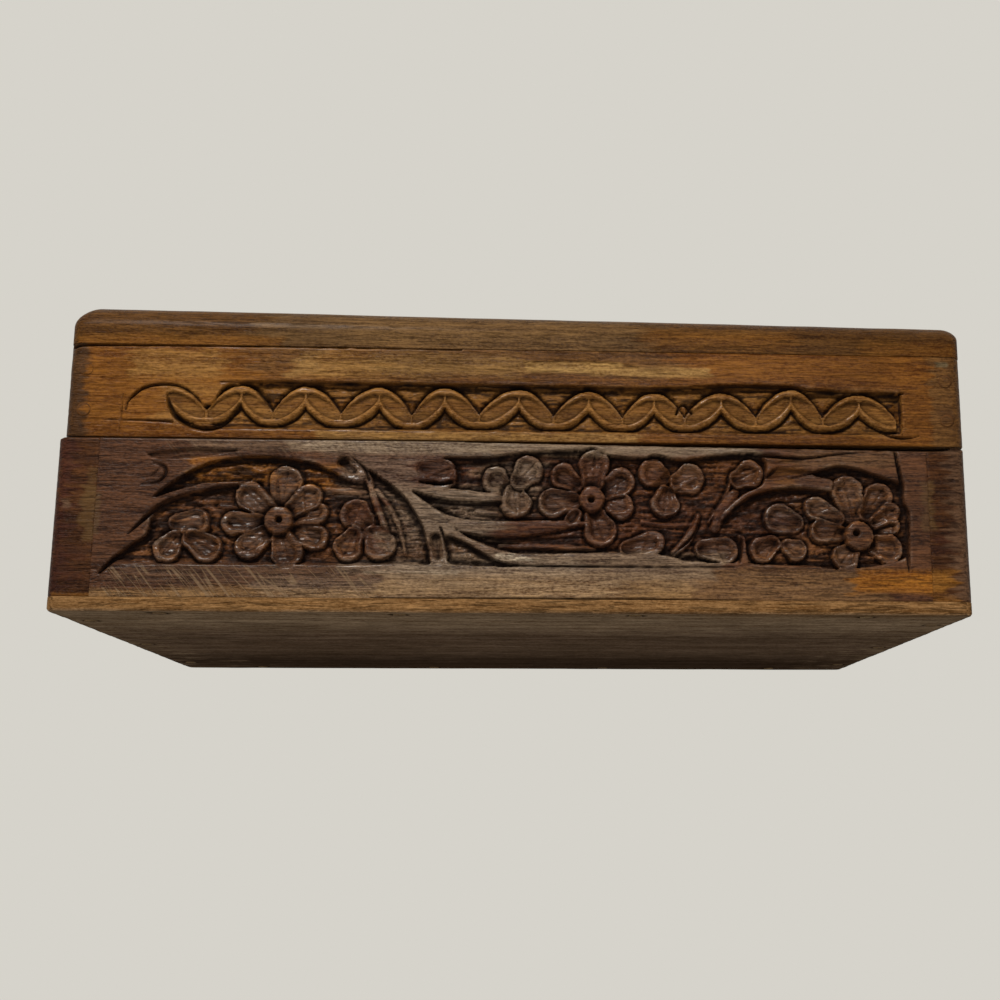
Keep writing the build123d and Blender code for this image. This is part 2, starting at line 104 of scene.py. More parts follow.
class Relief:
    """A board's outer face as heights in mm from the flat, on a regular grid."""

    wall = 0.13  # half the breadth of a chisel-cut wall

    def __init__(self, left, right, low, high, step):
        """A flat face between these edges, with the marks of the finish still empty."""
        self.step = step
        self.columns = round((right - left) / step) + 1
        self.lines = round((high - low) / step) + 1
        across = np.linspace(left, right, self.columns)
        up = np.linspace(low, high, self.lines)
        self.x, self.z = np.meshgrid(across, up)
        self.height = np.zeros(self.x.shape)
        self.tints = {name: np.zeros(self.x.shape) for name in ("cut", "rubbed")}
        self.wobble = random_field(self.x, self.z, 1.3, 1.1, 3) * 0.10
        self.wobble += random_field(self.x, self.z, 0.5, 0.45, 4) * 0.04

    def window(self, points, margin):
        """The part of the grid within a margin of some points."""
        xs = [p[0] for p in points]
        zs = [p[1] for p in points]
        left, low = self.x[0, 0], self.z[0, 0]
        first_column = max(int((min(xs) - margin - left) / self.step), 0)
        last_column = max(int((max(xs) + margin - left) / self.step) + 2, 0)
        first_line = max(int((min(zs) - margin - low) / self.step), 0)
        last_line = max(int((max(zs) + margin - low) / self.step) + 2, 0)
        return slice(first_line, last_line), slice(first_column, last_column)

    def outline(self, points):
        """Signed distance to a closed smooth outline, negative inside."""
        area = self.window(points, 3)
        x, z = self.x[area], self.z[area]
        ring = curve_through(points, closed=True, steps=4)
        nearest = np.full(x.shape, 1e3)
        inside = np.zeros(x.shape, bool)
        for start, end in zip(ring, ring[1:] + ring[:1]):
            distance, _ = segment_distance(x, z, start, end)
            nearest = np.minimum(nearest, distance)
            rise = end[1] - start[1]
            if rise:
                spans = (start[1] > z) != (end[1] > z)
                inside ^= spans & (x < start[0] + (end[0] - start[0]) * (z - start[1]) / rise)
        return area, np.where(inside, -nearest, nearest) + self.wobble[area]

    def stroke(self, points):
        """Signed distance to a brush stroke through points of x, z and width."""
        area = self.window(points, 4)
        x, z = self.x[area], self.z[area]
        curve = curve_through(points)
        nearest = np.full(x.shape, 1e3)
        for start, end in zip(curve[:-1], curve[1:]):
            distance, along = segment_distance(x, z, start, end)
            half_width = (start[2] + along * (end[2] - start[2])) / 2
            nearest = np.minimum(nearest, distance - half_width)
        return area, nearest

    def sink(self, points, depth, foot=0.35):
        """Sink the ground inside an outline, deepest along its foot."""
        area, distance = self.outline(points)
        wall = soft_step(distance, self.wall, -self.wall)
        trench = foot * np.exp(-(((distance + 0.5) / 0.45) ** 2))
        self.height[area] = np.minimum(self.height[area], -(depth + trench) * wall)

    def groove(self, points, depth):
        """A V cut along points of x, z and width."""
        area, distance = self.stroke(points)
        distance = distance + self.wobble[area] * 0.5
        width = max(p[2] for p in points)
        cut = -depth * soft_step(distance, 0.1, -width / 2)
        self.height[area] = np.minimum(self.height[area], cut)
        # Its inside is painted dark: painted shade, with dirt
        self.paint_shade_and_dirt(area, min(depth, 1) * soft_step(distance, 0.1, -0.15))

    def paint_shade_and_dirt(self, area, amount):
        """Painted shade in the cuts, with the dirt and old oil that stand there, more in some than
        in others.
        """
        patchy = 0.65 + 0.5 * random_field(self.x[area], self.z[area], 1.9, 1.2, 12)
        self.tints["cut"][area] = np.maximum(self.tints["cut"][area], amount * patchy)

    def stand(self, area, distance, top, moat=0.3, over=False):
        """Let a motif stand in the sunk ground, with a deeper cut round its foot."""
        ground = self.height[area]
        round_foot = moat * np.exp(-((np.maximum(distance, 0) / 0.5) ** 2))
        ground = np.where(ground < -0.4, ground - round_foot, ground)
        # A dark line round the motif's foot in the ground is painted shade, with dirt; none stays
        # on the motif itself
        line = soft_step(distance, 0.55, 0.2) * soft_step(distance, 0, 0.15)
        self.tints["cut"][area] *= soft_step(distance, -0.1, 0.1)
        self.paint_shade_and_dirt(area, line * soft_step(ground, -0.4, -0.8) * 0.8)
        wall = soft_step(distance, self.wall, -self.wall)
        motif = ground * (1 - wall) + top * wall
        self.height[area] = np.maximum(ground, motif) if over else motif

    def stem(self, points, top):
        """A stem: its back rounded, its edges cut down to the ground."""
        area, distance = self.stroke(points)
        distance = distance + self.wobble[area] * 0.7
        self.stand(area, distance, top - 0.22 * soft_step(distance, -0.9, 0), over=True)

    def petal(self, root, tip, width, hollow=0.8, root_drop=0.5, vein=0.2):
        """A petal hollowed like a spoon, its rim left high and its root cut down."""
        hand = np.random.default_rng(round(abs(root[0] * 10 + tip[1] * 100)))
        area = self.window([root, tip], width)
        x, z = self.x[area], self.z[area]
        distance, along = segment_distance(x, z, root, tip)
        edge = distance - width * (0.38 + 0.18 * along) + self.wobble[area]
        length = math.hypot(tip[0] - root[0], tip[1] - root[1])
        unit = ((tip[0] - root[0]) / length, (tip[1] - root[1]) / length)
        lengthways = (x - root[0]) * unit[0] + (z - root[1]) * unit[1]
        sideways = (x - root[0]) * unit[1] - (z - root[1]) * unit[0]
        # The rim is broader on one side and towards one end, the hollow more or less deep
        rim = 0.45 + hand.uniform(-1.2, 1.2) * sideways / width
        rim += hand.uniform(0, 0.8) * (lengthways - length / 2) / width
        spoon = hollow * hand.uniform(0.7, 1.2) * soft_step(-edge - rim, -0.15, 0.2 * width)
        spoon *= soft_step(-edge, 0.15, 0.4)
        spoon += vein * np.exp(-((sideways / 0.16) ** 2)) * soft_step(-edge, 0.3, 0.9)
        # The root is cut down, one side leans, and one cut takes off a flat facet
        tilt = root_drop * soft_step(lengthways, length * 0.7, -0.4 * width)
        lean = hand.uniform(0, 0.35)
        tilt += lean * soft_step(sideways * hand.choice((-1, 1)), 0.1, 0.5 * width)
        chips = (random_field(x, z, 1.8, 0.34, 9) - 0.4) * 0.12
        turn = hand.uniform(0, math.tau)
        facet = sideways * math.cos(turn) + (lengthways - length / 2) * math.sin(turn)
        tilt += hand.uniform(0.1, 0.3) * soft_step(facet, 0.12 * width, 0.12 * width + 0.3)
        self.stand(area, edge, -0.1 - spoon - tilt + chips, moat=0.5)
        # Painted shade and dirt darken the root, and handling has paled the rest
        deep = soft_step(lengthways, 0.6 * length, -0.3 * width) * soft_step(-edge, 0.1, 0.6)
        self.paint_shade_and_dirt(area, 0.8 * deep)
        face = soft_step(-edge, 0, 0.3) * (1 - deep) * hand.uniform(0.2, 1.0)
        self.tints["rubbed"][area] = np.maximum(self.tints["rubbed"][area], face)

    def whorl(self, middle, count, start, root, tip, width):
        """Equal petals round a middle, from a distance root to a distance tip from it."""
        for k in range(count):
            angle = start + k * math.tau / count
            way = np.array((math.cos(angle), math.sin(angle)))
            self.petal(middle + root * way, middle + tip * way, width)

    def disc(self, centre, radius, eye=None):
        """A flower's boss, slightly domed, with an eye drilled in it, maybe off its centre."""
        area = self.window([centre], radius + 2)
        x, z = self.x[area], self.z[area]
        edge = np.hypot(x - centre[0], z - centre[1]) - radius + self.wobble[area]
        self.stand(area, edge, -0.05 - 0.22 * soft_step(edge, -0.9, 0), moat=0.45)
        eye, eye_radius = eye or centre, 0.55
        from_eye = np.hypot(x - eye[0], z - eye[1])
        hole = -1.5 * soft_step(from_eye, eye_radius + 0.12, eye_radius - 0.15)
        self.height[area] = np.minimum(self.height[area], hole)

    def roughen_ground(self, punch, seed):
        """Punch marks and chisel chatter, in the sunk ground only."""
        depth = soft_step(self.height, -0.6, -0.95)
        marks = 0.7 * random_field(self.x, self.z, 0.42, 0.36, seed)
        marks += random_field(self.x, self.z, 1.9, 0.32, seed + 1)
        self.height += depth * punch * marks
        gaps = random_field(self.x, self.z, 2.6, 0.36, seed + 2)
        gaps += 0.4 * random_field(self.x, self.z, 0.8, 0.3, seed + 3)
        dirt = 0.9 * depth * soft_step(gaps, -0.05, 0.45)
        self.tints["cut"] = np.maximum(self.tints["cut"], dirt)
        self.tints["lit"] = 0.75 * depth * soft_step(gaps, 0, -0.5)

    def plane_marks(self, seed, along=14.0, across=0.7, depth=0.02):
        """The slight waves and raised grain that hand planing leaves."""
        self.height += depth * (random_field(self.x, self.z, along, across, seed) - 1)
        self.height += depth * (random_field(self.x, self.z, 5.0, 4.0, seed + 1) - 1)

    def ease_edges(self, left, right, low, high):
        """Round the board's own edges, by a radius in mm each."""
        x, z = self.x, self.z
        for radius, inward in (
            (left, x - x.min()), (right, x.max() - x), (low, z - z.min()), (high, z.max() - z)
        ):
            if radius:
                short = np.clip(radius - inward, 0, radius)
                self.height -= radius - np.sqrt(radius**2 - short**2)

    def tint(self, name, left, right, low, high, amount, soft, seed):
        """Colour a patch of the face, fading over a soft border along the grain."""
        ragged = random_field(self.x, self.z, 5.0, 0.5, seed) * soft
        ragged += random_field(self.x, self.z, 1.5, 0.7, seed + 1) * soft * 0.5
        x, z = self.x + ragged * 2, self.z + ragged * 0.4
        patch = soft_step(x, left - soft, left + soft) * soft_step(x, right + soft, right - soft)
        height = min(soft, (high - low) / 2)
        patch *= soft_step(z, low - height, low + height)
        patch *= soft_step(z, high + height, high - height)
        before = self.tints.get(name, np.zeros(self.x.shape))
        self.tints[name] = np.maximum(before, amount * patch)

    def blurred(self, reach):
        """The heights smoothed over a reach in mm."""
        cells = max(round(reach / self.step), 1)
        smooth = self.height
        for _ in range(2):
            for axis in (0, 1):
                pads = [(cells + 1, cells) if k == axis else (0, 0) for k in (0, 1)]
                total = np.cumsum(np.pad(smooth, pads, mode="edge"), axis=axis)
                span = 2 * cells + 1
                ahead = np.take(total, range(span, total.shape[axis]), axis)
                behind = np.take(total, range(total.shape[axis] - span), axis)
                smooth = (ahead - behind) / span
        return smooth

    def marks(self):
        """What the finish reads: how deep, how hollow and how ridged each place is."""
        near, far = self.blurred(0.5), self.blurred(1.4)
        crevice = np.maximum((near - self.height) / 0.32, (far - self.height) / 0.8)
        sunk = np.clip(-self.height / 1.2, 0, 1)
        handled = 0.2 + 0.8 * soft_step(random_field(self.x, self.z, 4.0, 2.6, 17), -0.1, 0.6)
        handled *= 0.3 + 0.7 * soft_step(random_field(self.x, self.z, 1.3, 0.8, 18), -0.35, 0.3)
        ridge = np.clip((self.height - near) / 0.25 - 0.1, 0, 1)
        return {
            "sunk": sunk,
            "hollow": np.clip(1.25 * crevice - 0.1, 0, 1),
            "ridge": ridge * handled * (1 - 0.7 * sunk),
            **self.tints,
        }


def relief_shell(relief, place):
    """The relief as an open bmesh, each grid point put where place(x, z, height) says."""
    shell = bmesh.new()
    bmesh.ops.create_grid(
        shell, x_segments=relief.columns - 1, y_segments=relief.lines - 1, size=0.5
    )
    shell.verts.ensure_lookup_table()
    unit = np.array([v.co for v in shell.verts])
    column = np.rint((unit[:, 0] + 0.5) * (relief.columns - 1)).astype(int)
    line = np.rint((unit[:, 1] + 0.5) * (relief.lines - 1)).astype(int)
    heights = np.minimum(relief.height, 0)
    x, z, height = (grid[line, column] for grid in (relief.x, relief.z, heights))
    points = np.stack(place(x, z, height), 1) * mm
    for vertex, point in zip(shell.verts, points):
        vertex.co = point
    for mark, values in relief.marks().items():
        layer = shell.verts.layers.float.new(mark)
        for vertex, value in zip(shell.verts, values[line, column]):
            vertex[layer] = value
    for face in shell.faces:
        face.smooth = True
    for edge in shell.edges:
        edge.smooth = not edge.is_boundary
    return shell


def on_level(edge, level):
    """Whether both ends of an edge are at a level, in mm."""
    return all(abs(vertex.co.z / mm - level) < 0.001 for vertex in edge.verts)


def close_hole(shell):
    """Close what is open with one face, and turn all faces outwards."""
    rim = [e for e in shell.edges if e.is_boundary]
    cap = bmesh.ops.contextual_create(shell, geom=rim)["faces"]
    bmesh.ops.recalc_face_normals(shell, faces=shell.faces)
    return rim + cap


def close_board(shell, low, high):
    """Close an open board: a face on its lower and its upper edge, then the inner side."""
    for level in (low, high):
        chain = [e for e in shell.edges if e.is_boundary and on_level(e, level)]
        counts = {}
        for edge in chain:
            for vertex in edge.verts:
                counts[vertex] = counts.get(vertex, 0) + 1
        ends = [vertex for vertex, count in counts.items() if count == 1]
        closing = bmesh.ops.contextual_create(shell, geom=ends)["edges"]
        bmesh.ops.contextual_create(shell, geom=chain + closing)
    close_hole(shell)


def cut_off(shell, point, normal):
    """Saw off what lies beyond a plane, and close the cut."""
    everything = shell.verts[:] + shell.edges[:] + shell.faces[:]
    bmesh.ops.bisect_plane(
        shell, geom=everything, dist=1e-7, plane_co=[v * mm for v in point],
        plane_no=normal, clear_outer=True,
    )
    for item in close_hole(shell):
        item.smooth = False


def extrude_ends(shell, inner_y=None, inner_x=None):
    """Carry a flat board's two upright ends back to its inner side at one y or x."""
    low = min(v.co.z for v in shell.verts) / mm
    high = max(v.co.z for v in shell.verts) / mm
    upright = [
        e for e in shell.edges
        if e.is_boundary and not on_level(e, low) and not on_level(e, high)
    ]
    made = bmesh.ops.extrude_edge_only(shell, edges=upright)["geom"]
    for item in made:
        if isinstance(item, bmesh.types.BMVert):
            if inner_y is not None:
                item.co.y = inner_y * mm
            if inner_x is not None:
                item.co.x = inner_x * mm
        if isinstance(item, bmesh.types.BMFace):
            item.smooth = False
    # Extruding makes the faces in no fixed order, so they are put in one
    shell.verts.index_update()
    count = len(shell.verts)
    shell.faces.sort(key=lambda face: (
        max(v.index for v in face.verts) * count + min(v.index for v in face.verts)
    ))


def corners(node):
    """The lowest and the highest corner of a node's box, in mm."""
    return [[v / mm for v in corner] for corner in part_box(node)]


def put_in_scene(name, data):
    """A new object of the scene with this mesh, lamp or lens."""
    item = bpy.data.objects.new(name, data)
    bpy.context.scene.collection.objects.link(item)
    return item


def mesh_object(name, shell, finish):
    """A bmesh as an object with one finish."""
    mesh = bpy.data.meshes.new(name)
    shell.to_mesh(mesh)
    shell.free()
    mesh.materials.append(finish)
    return put_in_scene(name, mesh)


def finish_piece(name, shell, body, replaced, finish):
    """Turn a bmesh into a piece of the scene that stands for the nodes it replaces."""
    piece = mesh_object(name, shell, finish)
    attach(piece, body)
    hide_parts(*replaced)
    return piece


class Paint:
    """A socket of a finish, so that arithmetic on it adds the nodes that work it out."""

    def __init__(self, tree, socket=None):
        self.tree, self.socket = tree, socket

    def node(self, kind, settings=None, inputs=None, outlet=0):
        """Any node: its settings first, then the values or links of its sockets."""
        made = self.tree.nodes.new("ShaderNode" + kind)
        for name, value in (settings or {}).items():
            if name == "stops":
                ramp = made.color_ramp
                for place, colour in value[2:]:
                    ramp.elements.new(place)
                for element, (place, colour) in zip(ramp.elements, sorted(value)):
                    element.position, element.color = place, (*colour, 1)
            else:
                setattr(made, name, value)
        for name, value in (inputs or {}).items():
            if isinstance(value, Paint):
                self.tree.links.new(value.socket, made.inputs[name])
            else:
                made.inputs[name].default_value = value
        return Paint(self.tree, made.outputs[outlet] if made.outputs else None)

    def math(self, operation, first, second=0.0):
        return self.node("Math", {"operation": operation}, {0: first, 1: second})

    def __add__(self, other):
        return self.math("ADD", self, other)

    def __sub__(self, other):
        return self.math("SUBTRACT", self, other)

    def __rsub__(self, other):
        return self.math("SUBTRACT", other, self)

    def __mul__(self, other):
        return self.math("MULTIPLY", self, other)

    __radd__, __rmul__ = __add__, __mul__

    def step(self, low, high):
        """0 at low and 1 at high, smooth between."""
        return self.node(
            "MapRange", {"interpolation_type": "SMOOTHSTEP"},
            {"Value": self, "From Min": low, "From Max": high},
        )

    def mixed(self, other, amount):
        """This colour turned towards another one."""
        first = self if self.socket else (0, 0, 0, 1)
        return self.node(
            "Mix", {"data_type": "RGBA"}, {0: amount, 6: first, 7: other}, outlet=2
        )

    def mark(self, name):
        """A mark that the mesh carries, such as how sunk a place is."""
        return self.node("Attribute", {"attribute_name": name}, outlet=2)

    def noise(self, scales, detail, offset=(0, 0, 0), coarse=0.5, bend=0.0):
        """Noise from 0 to 1 on a stretched copy of these coordinates, scales per mm."""
        stretched = self.node(
            "Mapping", {"vector_type": "POINT"},
            {"Vector": self, "Location": offset, "Scale": [s / mm for s in scales]},
        )
        return self.node(
            "TexNoise", {},
            {"Vector": stretched, "Scale": 1.0, "Detail": detail, "Roughness": coarse,
             "Distortion": bend},
        )

    def scratches(self, turn, length, breadth):
        """Straight scratches in the XZ plane, running down from left to right, 0 to 1."""
        turned = self.node(
            "Mapping", {"vector_type": "TEXTURE"},
            {"Vector": self, "Rotation": (0, math.radians(turn), 0),
             "Scale": (length * mm, 100 * mm, breadth * mm)},
        )
        lines = self.node("TexNoise", {}, {"Vector": turned, "Scale": 1.0, "Detail": 0.0})
        return 1.0 - self.math("ABSOLUTE", lines - 0.5).step(0.008, 0.065)


def colour(red, green, blue):
    """A colour given as 0 to 255 display values, made linear."""
    values = [v / 255 for v in (red, green, blue)]
    return (*[v / 12.92 if v <= 0.04045 else ((v + 0.055) / 1.055) ** 2.4 for v in values], 1)


def start_finish(name):
    """A new material: its first Paint, its coordinates, and the way to end it."""
    material = bpy.data.materials.new(name)
    material.use_nodes = True
    material.node_tree.nodes.clear()
    paint = Paint(material.node_tree)
    return material, paint, paint.node("TexCoord", outlet=3)


def end_finish(paint, settings):
    """Join a Principled shader with these sockets to the material's output."""
    shader = paint.node("BsdfPrincipled", {}, settings)
    paint.node("OutputMaterial", {}, {"Surface": shader})


def along_grain(axis, along, across):
    """Noise scales for a grain that runs along one axis."""
    return [along if k == axis else across for k in range(3)]


def wood_grain(place, axis, seed):
    """How light the figure is, how open the pores are, and how high the fibres stand."""
    offset = (seed * 3.1, seed * 1.7, seed * 2.3)
    figure = place.noise(along_grain(axis, 0.014, 0.28), 4, offset, 0.6, 0.8).step(0.36, 0.66)
    streak = place.noise(along_grain(axis, 0.04, 1.1), 3, offset, 0.6, 0.4).step(0.38, 0.64)
    fibre = place.noise(along_grain(axis, 0.24, 3.4), 3, offset, 0.65, 0.3).step(0.36, 0.64)
    pore = place.noise(along_grain(axis, 0.22, 2.7), 2, offset[::-1], 0.55, 0.5).step(0.55, 0.63)
    speck = place.noise(along_grain(axis, 1.5, 3.6), 3, offset, 0.7)
    body = figure * 0.32 + streak * 0.26 + fibre * 0.42 + (speck - 0.5) * 2.0
    return body, pore, fibre * 0.5 + speck * 0.6 - pore * 0.7 + streak * 0.15


def wood_finish(
    name, axis, dark, light, tinted, seed, worn=(128, 104, 78), pores=0.5, shine=0.8,
    crossed=None, close=None, filed=None,
):
    """Oiled hardwood with its grain along an axis.

    Colours are 0 to 255 display values, those of the dark and the light figure.
    tinted is a list of mark name, dark colour and light colour, painted over in turn;
    worn is the colour of rubbed edges, pores how dark the open pores are, and shine how the
    polish gathers on raised places. Marks say where the grain runs along X (crossed), where
    the pores are closed (close) and where a file has scratched the wood (filed).
    """
    material, paint, place = start_finish(name)
    dark, worn, black = colour(*dark), colour(*worn), colour(14, 5, 3)
    body, pore, height = wood_grain(place, axis, seed)
    if crossed:
        share = paint.mark(crossed)
        other = wood_grain(place, 0, seed + 1)
        body, pore, height = (
            own + (cross - own) * share for own, cross in zip((body, pore, height), other)
        )
    sunk, hollow, ridge, cut, rubbed = (
        paint.mark(mark) for mark in ("sunk", "hollow", "ridge", "cut", "rubbed")
    )

    base = paint.mixed(dark, 1.0).mixed(colour(*light), body)
    for mark, low, high in tinted:
        shaded = paint.mixed(colour(*low), 1.0).mixed(colour(*high), body)
        base = base.mixed(shaded, paint.mark(mark))
    blotch = place.noise((0.05, 0.05, 0.05), 3, (seed, 0, seed), 0.6).step(0.35, 0.7)
    base = base.mixed([v * 0.45 for v in dark[:3]] + [1], blotch * 0.3)
    base = base.mixed(worn, (ridge * 0.4 + rubbed * 0.2) * body)
    if close:
        pore = pore * (1.0 - 0.75 * paint.mark(close))
    base = base.mixed(black, pore * pores)
    if filed:
        lines = place.scratches(50, 12.0, 0.6) * paint.mark(filed)
        base = base.mixed(worn, lines * 0.6)
        height = height - 0.8 * lines
    # Hollows and cuts go near black: painted shade, with the dirt in them
    base = base.mixed(black, hollow * 0.9).mixed(black, cut * 0.9)
    bump = paint.node("Bump", {}, {"Strength": 0.8, "Distance": 0.14 * mm, "Height": height})
    rough = 0.34 + 0.3 * (body - 0.5) + 0.2 * pore + 0.3 * hollow - 0.1 * ridge
    polish = (ridge * 0.7 + rubbed * 0.35 - hollow * 0.4 - cut * 0.3 + 0.1) * (1.0 - 0.7 * pore)
    end_finish(paint, {
        "Base Color": base, "Roughness": rough + 0.1 * sunk, "Normal": bump,
        "Specular IOR Level": 0.1 * shine, "Coat Weight": polish * shine, "Coat Roughness": 0.22,
    })
    return material


front_finish = wood_finish(
    "dark_hardwood_front", 0, (42, 22, 12), (98, 62, 38),
    [
        ("sap", (86, 56, 28), (168, 130, 84)),
        ("lit", (84, 46, 22), (136, 88, 48)),
        ("golden", (100, 54, 8), (168, 108, 36)),
        ("red", (48, 20, 12), (88, 46, 28)),
        # The grey tint is a painted sheen, and the gleam tint painted highlights and glints
        ("grey", (74, 54, 40), (152, 128, 102)),
        ("gleam", (78, 60, 44), (220, 200, 172)),
        ("putty", (74, 50, 30), (92, 68, 42)),
    ],
    seed=1, close="close", filed="filed",
)

board_end, board_foot, board_rim = 69, 2.3, 28.8
front = Relief(-board_end, board_end, board_foot, board_rim, 0.2)
# The sunk grounds left, middle and right of the long stem, then the shallower ones
for outline, depth, foot in (
    ([(-67.7, 6.4), (-65.6, 8.9), (-63.5, 10.8), (-61.7, 12.1), (-61.0, 13.6), (-60.6, 16.0),
      (-58, 18.1), (-55, 19.4), (-52, 20.2), (-47.5, 20.9), (-44.2, 22.0), (-44.5, 21.8),
      (-52, 21.4), (-56, 20.4), (-60.4, 18.9), (-57, 21.7), (-54, 23.7), (-50, 25.0),
      (-44, 25.8), (-38, 25.3), (-34, 24.5), (-31.6, 22.9), (-29.5, 22.1), (-26.6, 21.9),
      (-25.9, 23.8), (-23.5, 22.0), (-21.0, 19.9), (-19, 17.5), (-17.5, 15), (-16.5, 12.5),
      (-15.5, 8.2), (-21, 8.0), (-27, 7.7), (-36, 7.7), (-50, 7.6), (-60, 7.6), (-66, 7.4)],
     1.05, 0.35),
    ([(-12.0, 21.4), (-11.4, 23.5), (-11.9, 25.2), (-13.4, 26.1), (-6, 26.2), (0, 27.0),
      (5, 27.3), (9.3, 27.6), (11.8, 28.0), (14.3, 26.8), (20, 26.4), (22.5, 27.0),
      (27, 26.1), (30, 26.6), (38, 27.5), (40.9, 26.8), (41.4, 24.5), (40.4, 21.9),
      (37.2, 20.2), (34.9, 18.2), (33.2, 15.9), (36.3, 13.9), (36.4, 9.2), (33, 8.7),
      (28, 8.9), (24.5, 9.7), (20, 10.4), (12, 10.2), (5, 10.0), (0, 10.0), (-3.5, 10.4),
      (-7, 11.6), (-11.4, 13.9), (-13.4, 16.4), (-16.4, 18.5), (-18.7, 20.3), (-15.5, 19.9)],
     1.05, 0.35),
    ([(33.8, 15.6), (36.9, 18.5), (40, 20.1), (43, 20.9), (47, 21.3), (52.4, 21.0),
      (53.0, 22.8), (50, 23.6), (50, 24.3), (54.5, 25.3), (57, 24.8), (60, 23.9),
      (64, 22.6), (64.7, 21), (65.2, 18), (65.4, 13), (64.9, 9.9), (61, 8.7), (57.5, 8.1),
      (53, 7.8), (47, 8.5), (38.6, 8.7), (37.6, 12.6), (36.2, 13.5), (34.4, 14.4)],
     1.05, 0.35),
    ([(-12.9, 12.7), (-10, 11.7), (-7, 9.9), (-4, 8.6), (0, 8.0), (3, 7.9), (-4, 7.7),
      (-9, 7.9), (-12.2, 8.1), (-13.0, 10)], 0.9, 0.35),
    ([(-61.9, 26.1), (-58.5, 26.8), (-55, 27.1), (-50, 27.1), (-46.8, 26.9), (-50, 26.3),
      (-54, 25.6), (-58, 25.3), (-60.3, 25.4)], 0.4, 0.15),
    ([(-17.9, 21.9), (-15, 22.2), (-12.3, 22.3), (-11.8, 21.6), (-14.5, 21.3)], 0.8, 0.35),
    ([(43.3, 24.9), (41.4, 23.4), (42.2, 23.0), (45, 23.6), (50, 24.2)], 0.5, 0.1),
):
    front.sink(outline, depth, foot)
# Left of the long stem the ground runs out gently towards the bottom
rising = soft_step(front.z, 7.1, 9.2) + soft_step(front.x, -18, -15)
front.height *= np.minimum(rising, 1)
front.roughen_ground(0.26, 31)

# Stems, and the two ridges left between the sunk grounds, each with the height of its back
for points, back in (
    ([(-29.4, 26.0, 0.9), (-26.6, 23.6, 1.0), (-25.1, 19.5, 1.1), (-23.4, 15, 1.1),
      (-22.0, 12.0, 0.5)], -0.15),
    ([(-24.6, 20.5, 0.8), (-22.2, 17.2, 0.8), (-20.6, 13.8, 0.7), (-19.6, 9.8, 0.4)], -0.55),
    ([(-19.5, 21.2, 1.0), (-14, 20.2, 1.9), (-8, 19.6, 1.7), (-3.2, 19.5, 1.5)], -0.08),
    ([(-15.0, 16.8, 1.2), (-11.5, 14.9, 2.2), (-7, 14.2, 2.6), (-2, 14.1, 2.8),
      (4, 14.6, 2.2), (10, 15.2, 1.0)], -0.2),
    ([(-8, 17.0, 0.7), (0, 16.6, 0.8), (8, 16.2, 0.5)], -0.75),
    ([(-4, 11.3, 0.6), (4, 11.2, 0.9), (12, 11.0, 0.7)], -0.7),
    ([(29.6, 16.6, 0.9), (28.6, 14.2, 1.4), (27.2, 12.0, 1.6), (25.4, 10.3, 1.2)], -0.25),
    ([(35.4, 23.0, 0.5), (34.7, 20.8, 0.6), (33.3, 18.3, 0.6), (31.4, 15.7, 0.5)], -0.3),
    ([(36.0, 20.6, 1.6), (34.0, 17.8, 1.8), (32.4, 14.6, 1.6)], -0.5),
    ([(20, 15.6, 0.6), (25, 15.0, 0.8), (29, 15.3, 0.6)], -0.7),
    ([(-50, 17.6, 0.8), (-46, 17.2, 1.0), (-43, 17.0, 0.8)], -0.75),
    ([(-36, 20.9, 0.7), (-31, 20.4, 0.9), (-26.5, 20.2, 0.7)], -0.8),
):
    front.stem(points, back)

# Flowers: middle, boss radius and drilled eye, then each petal from its root to the middle
# of its round end, with its width
for middle, radius, eye, petals in (
    ((-40.5, 15.2), 2.35, (-40.4, 15.3), [
        ((-40.0, 18.2), (-39.5, 21.6), 5.0), ((-42.3, 16.9), (-45.2, 19.3), 4.4),
        ((-43.4, 14.9), (-47.7, 14.7), 3.6), ((-42.3, 13.2), (-45.0, 10.9), 4.2),
        ((-38.2, 13.7), (-34.6, 12.5), 4.2), ((-37.9, 15.7), (-34.3, 16.5), 3.4),
        ((-38.4, 17.2), (-35.6, 19.3), 3.8), ((-39.8, 12.4), (-38.9, 9.9), 4.8)]),
    ((11.5, 19.3), 2.2, (11.4, 19.2), [
        ((8.6, 22.0), (6.7, 23.2), 4.0), ((8.2, 19.0), (5.0, 18.6), 4.6),
        ((14.2, 18.8), (16.4, 18.1), 4.0), ((14.0, 21.0), (16.4, 22.4), 4.4),
        ((9.0, 16.8), (8.3, 15.9), 2.6), ((12.1, 16.4), (12.9, 14.1), 5.1),
        ((11.7, 22.3), (11.9, 25.2), 4.8)]),
    ((57.2, 13.5), 2.5, (56.7, 13.9), [
        ((56.3, 17.5), (55.4, 21.0), 5.0), ((59.0, 17.5), (60.7, 20.2), 4.4),
        ((53.5, 16.3), (50.0, 18.2), 3.8), ((54.2, 14.0), (50.8, 14.2), 3.8),
        ((60.3, 14.7), (62.6, 15.2), 2.9), ((60.2, 16.0), (62.7, 17.6), 3.1),
        ((55.8, 10.9), (54.9, 9.9), 4.4), ((60.0, 12.0), (61.9, 11.3), 4.6)]),
):
    for root, tip, width in petals:
        front.petal(root, tip, width)
    front.disc(middle, radius, eye)

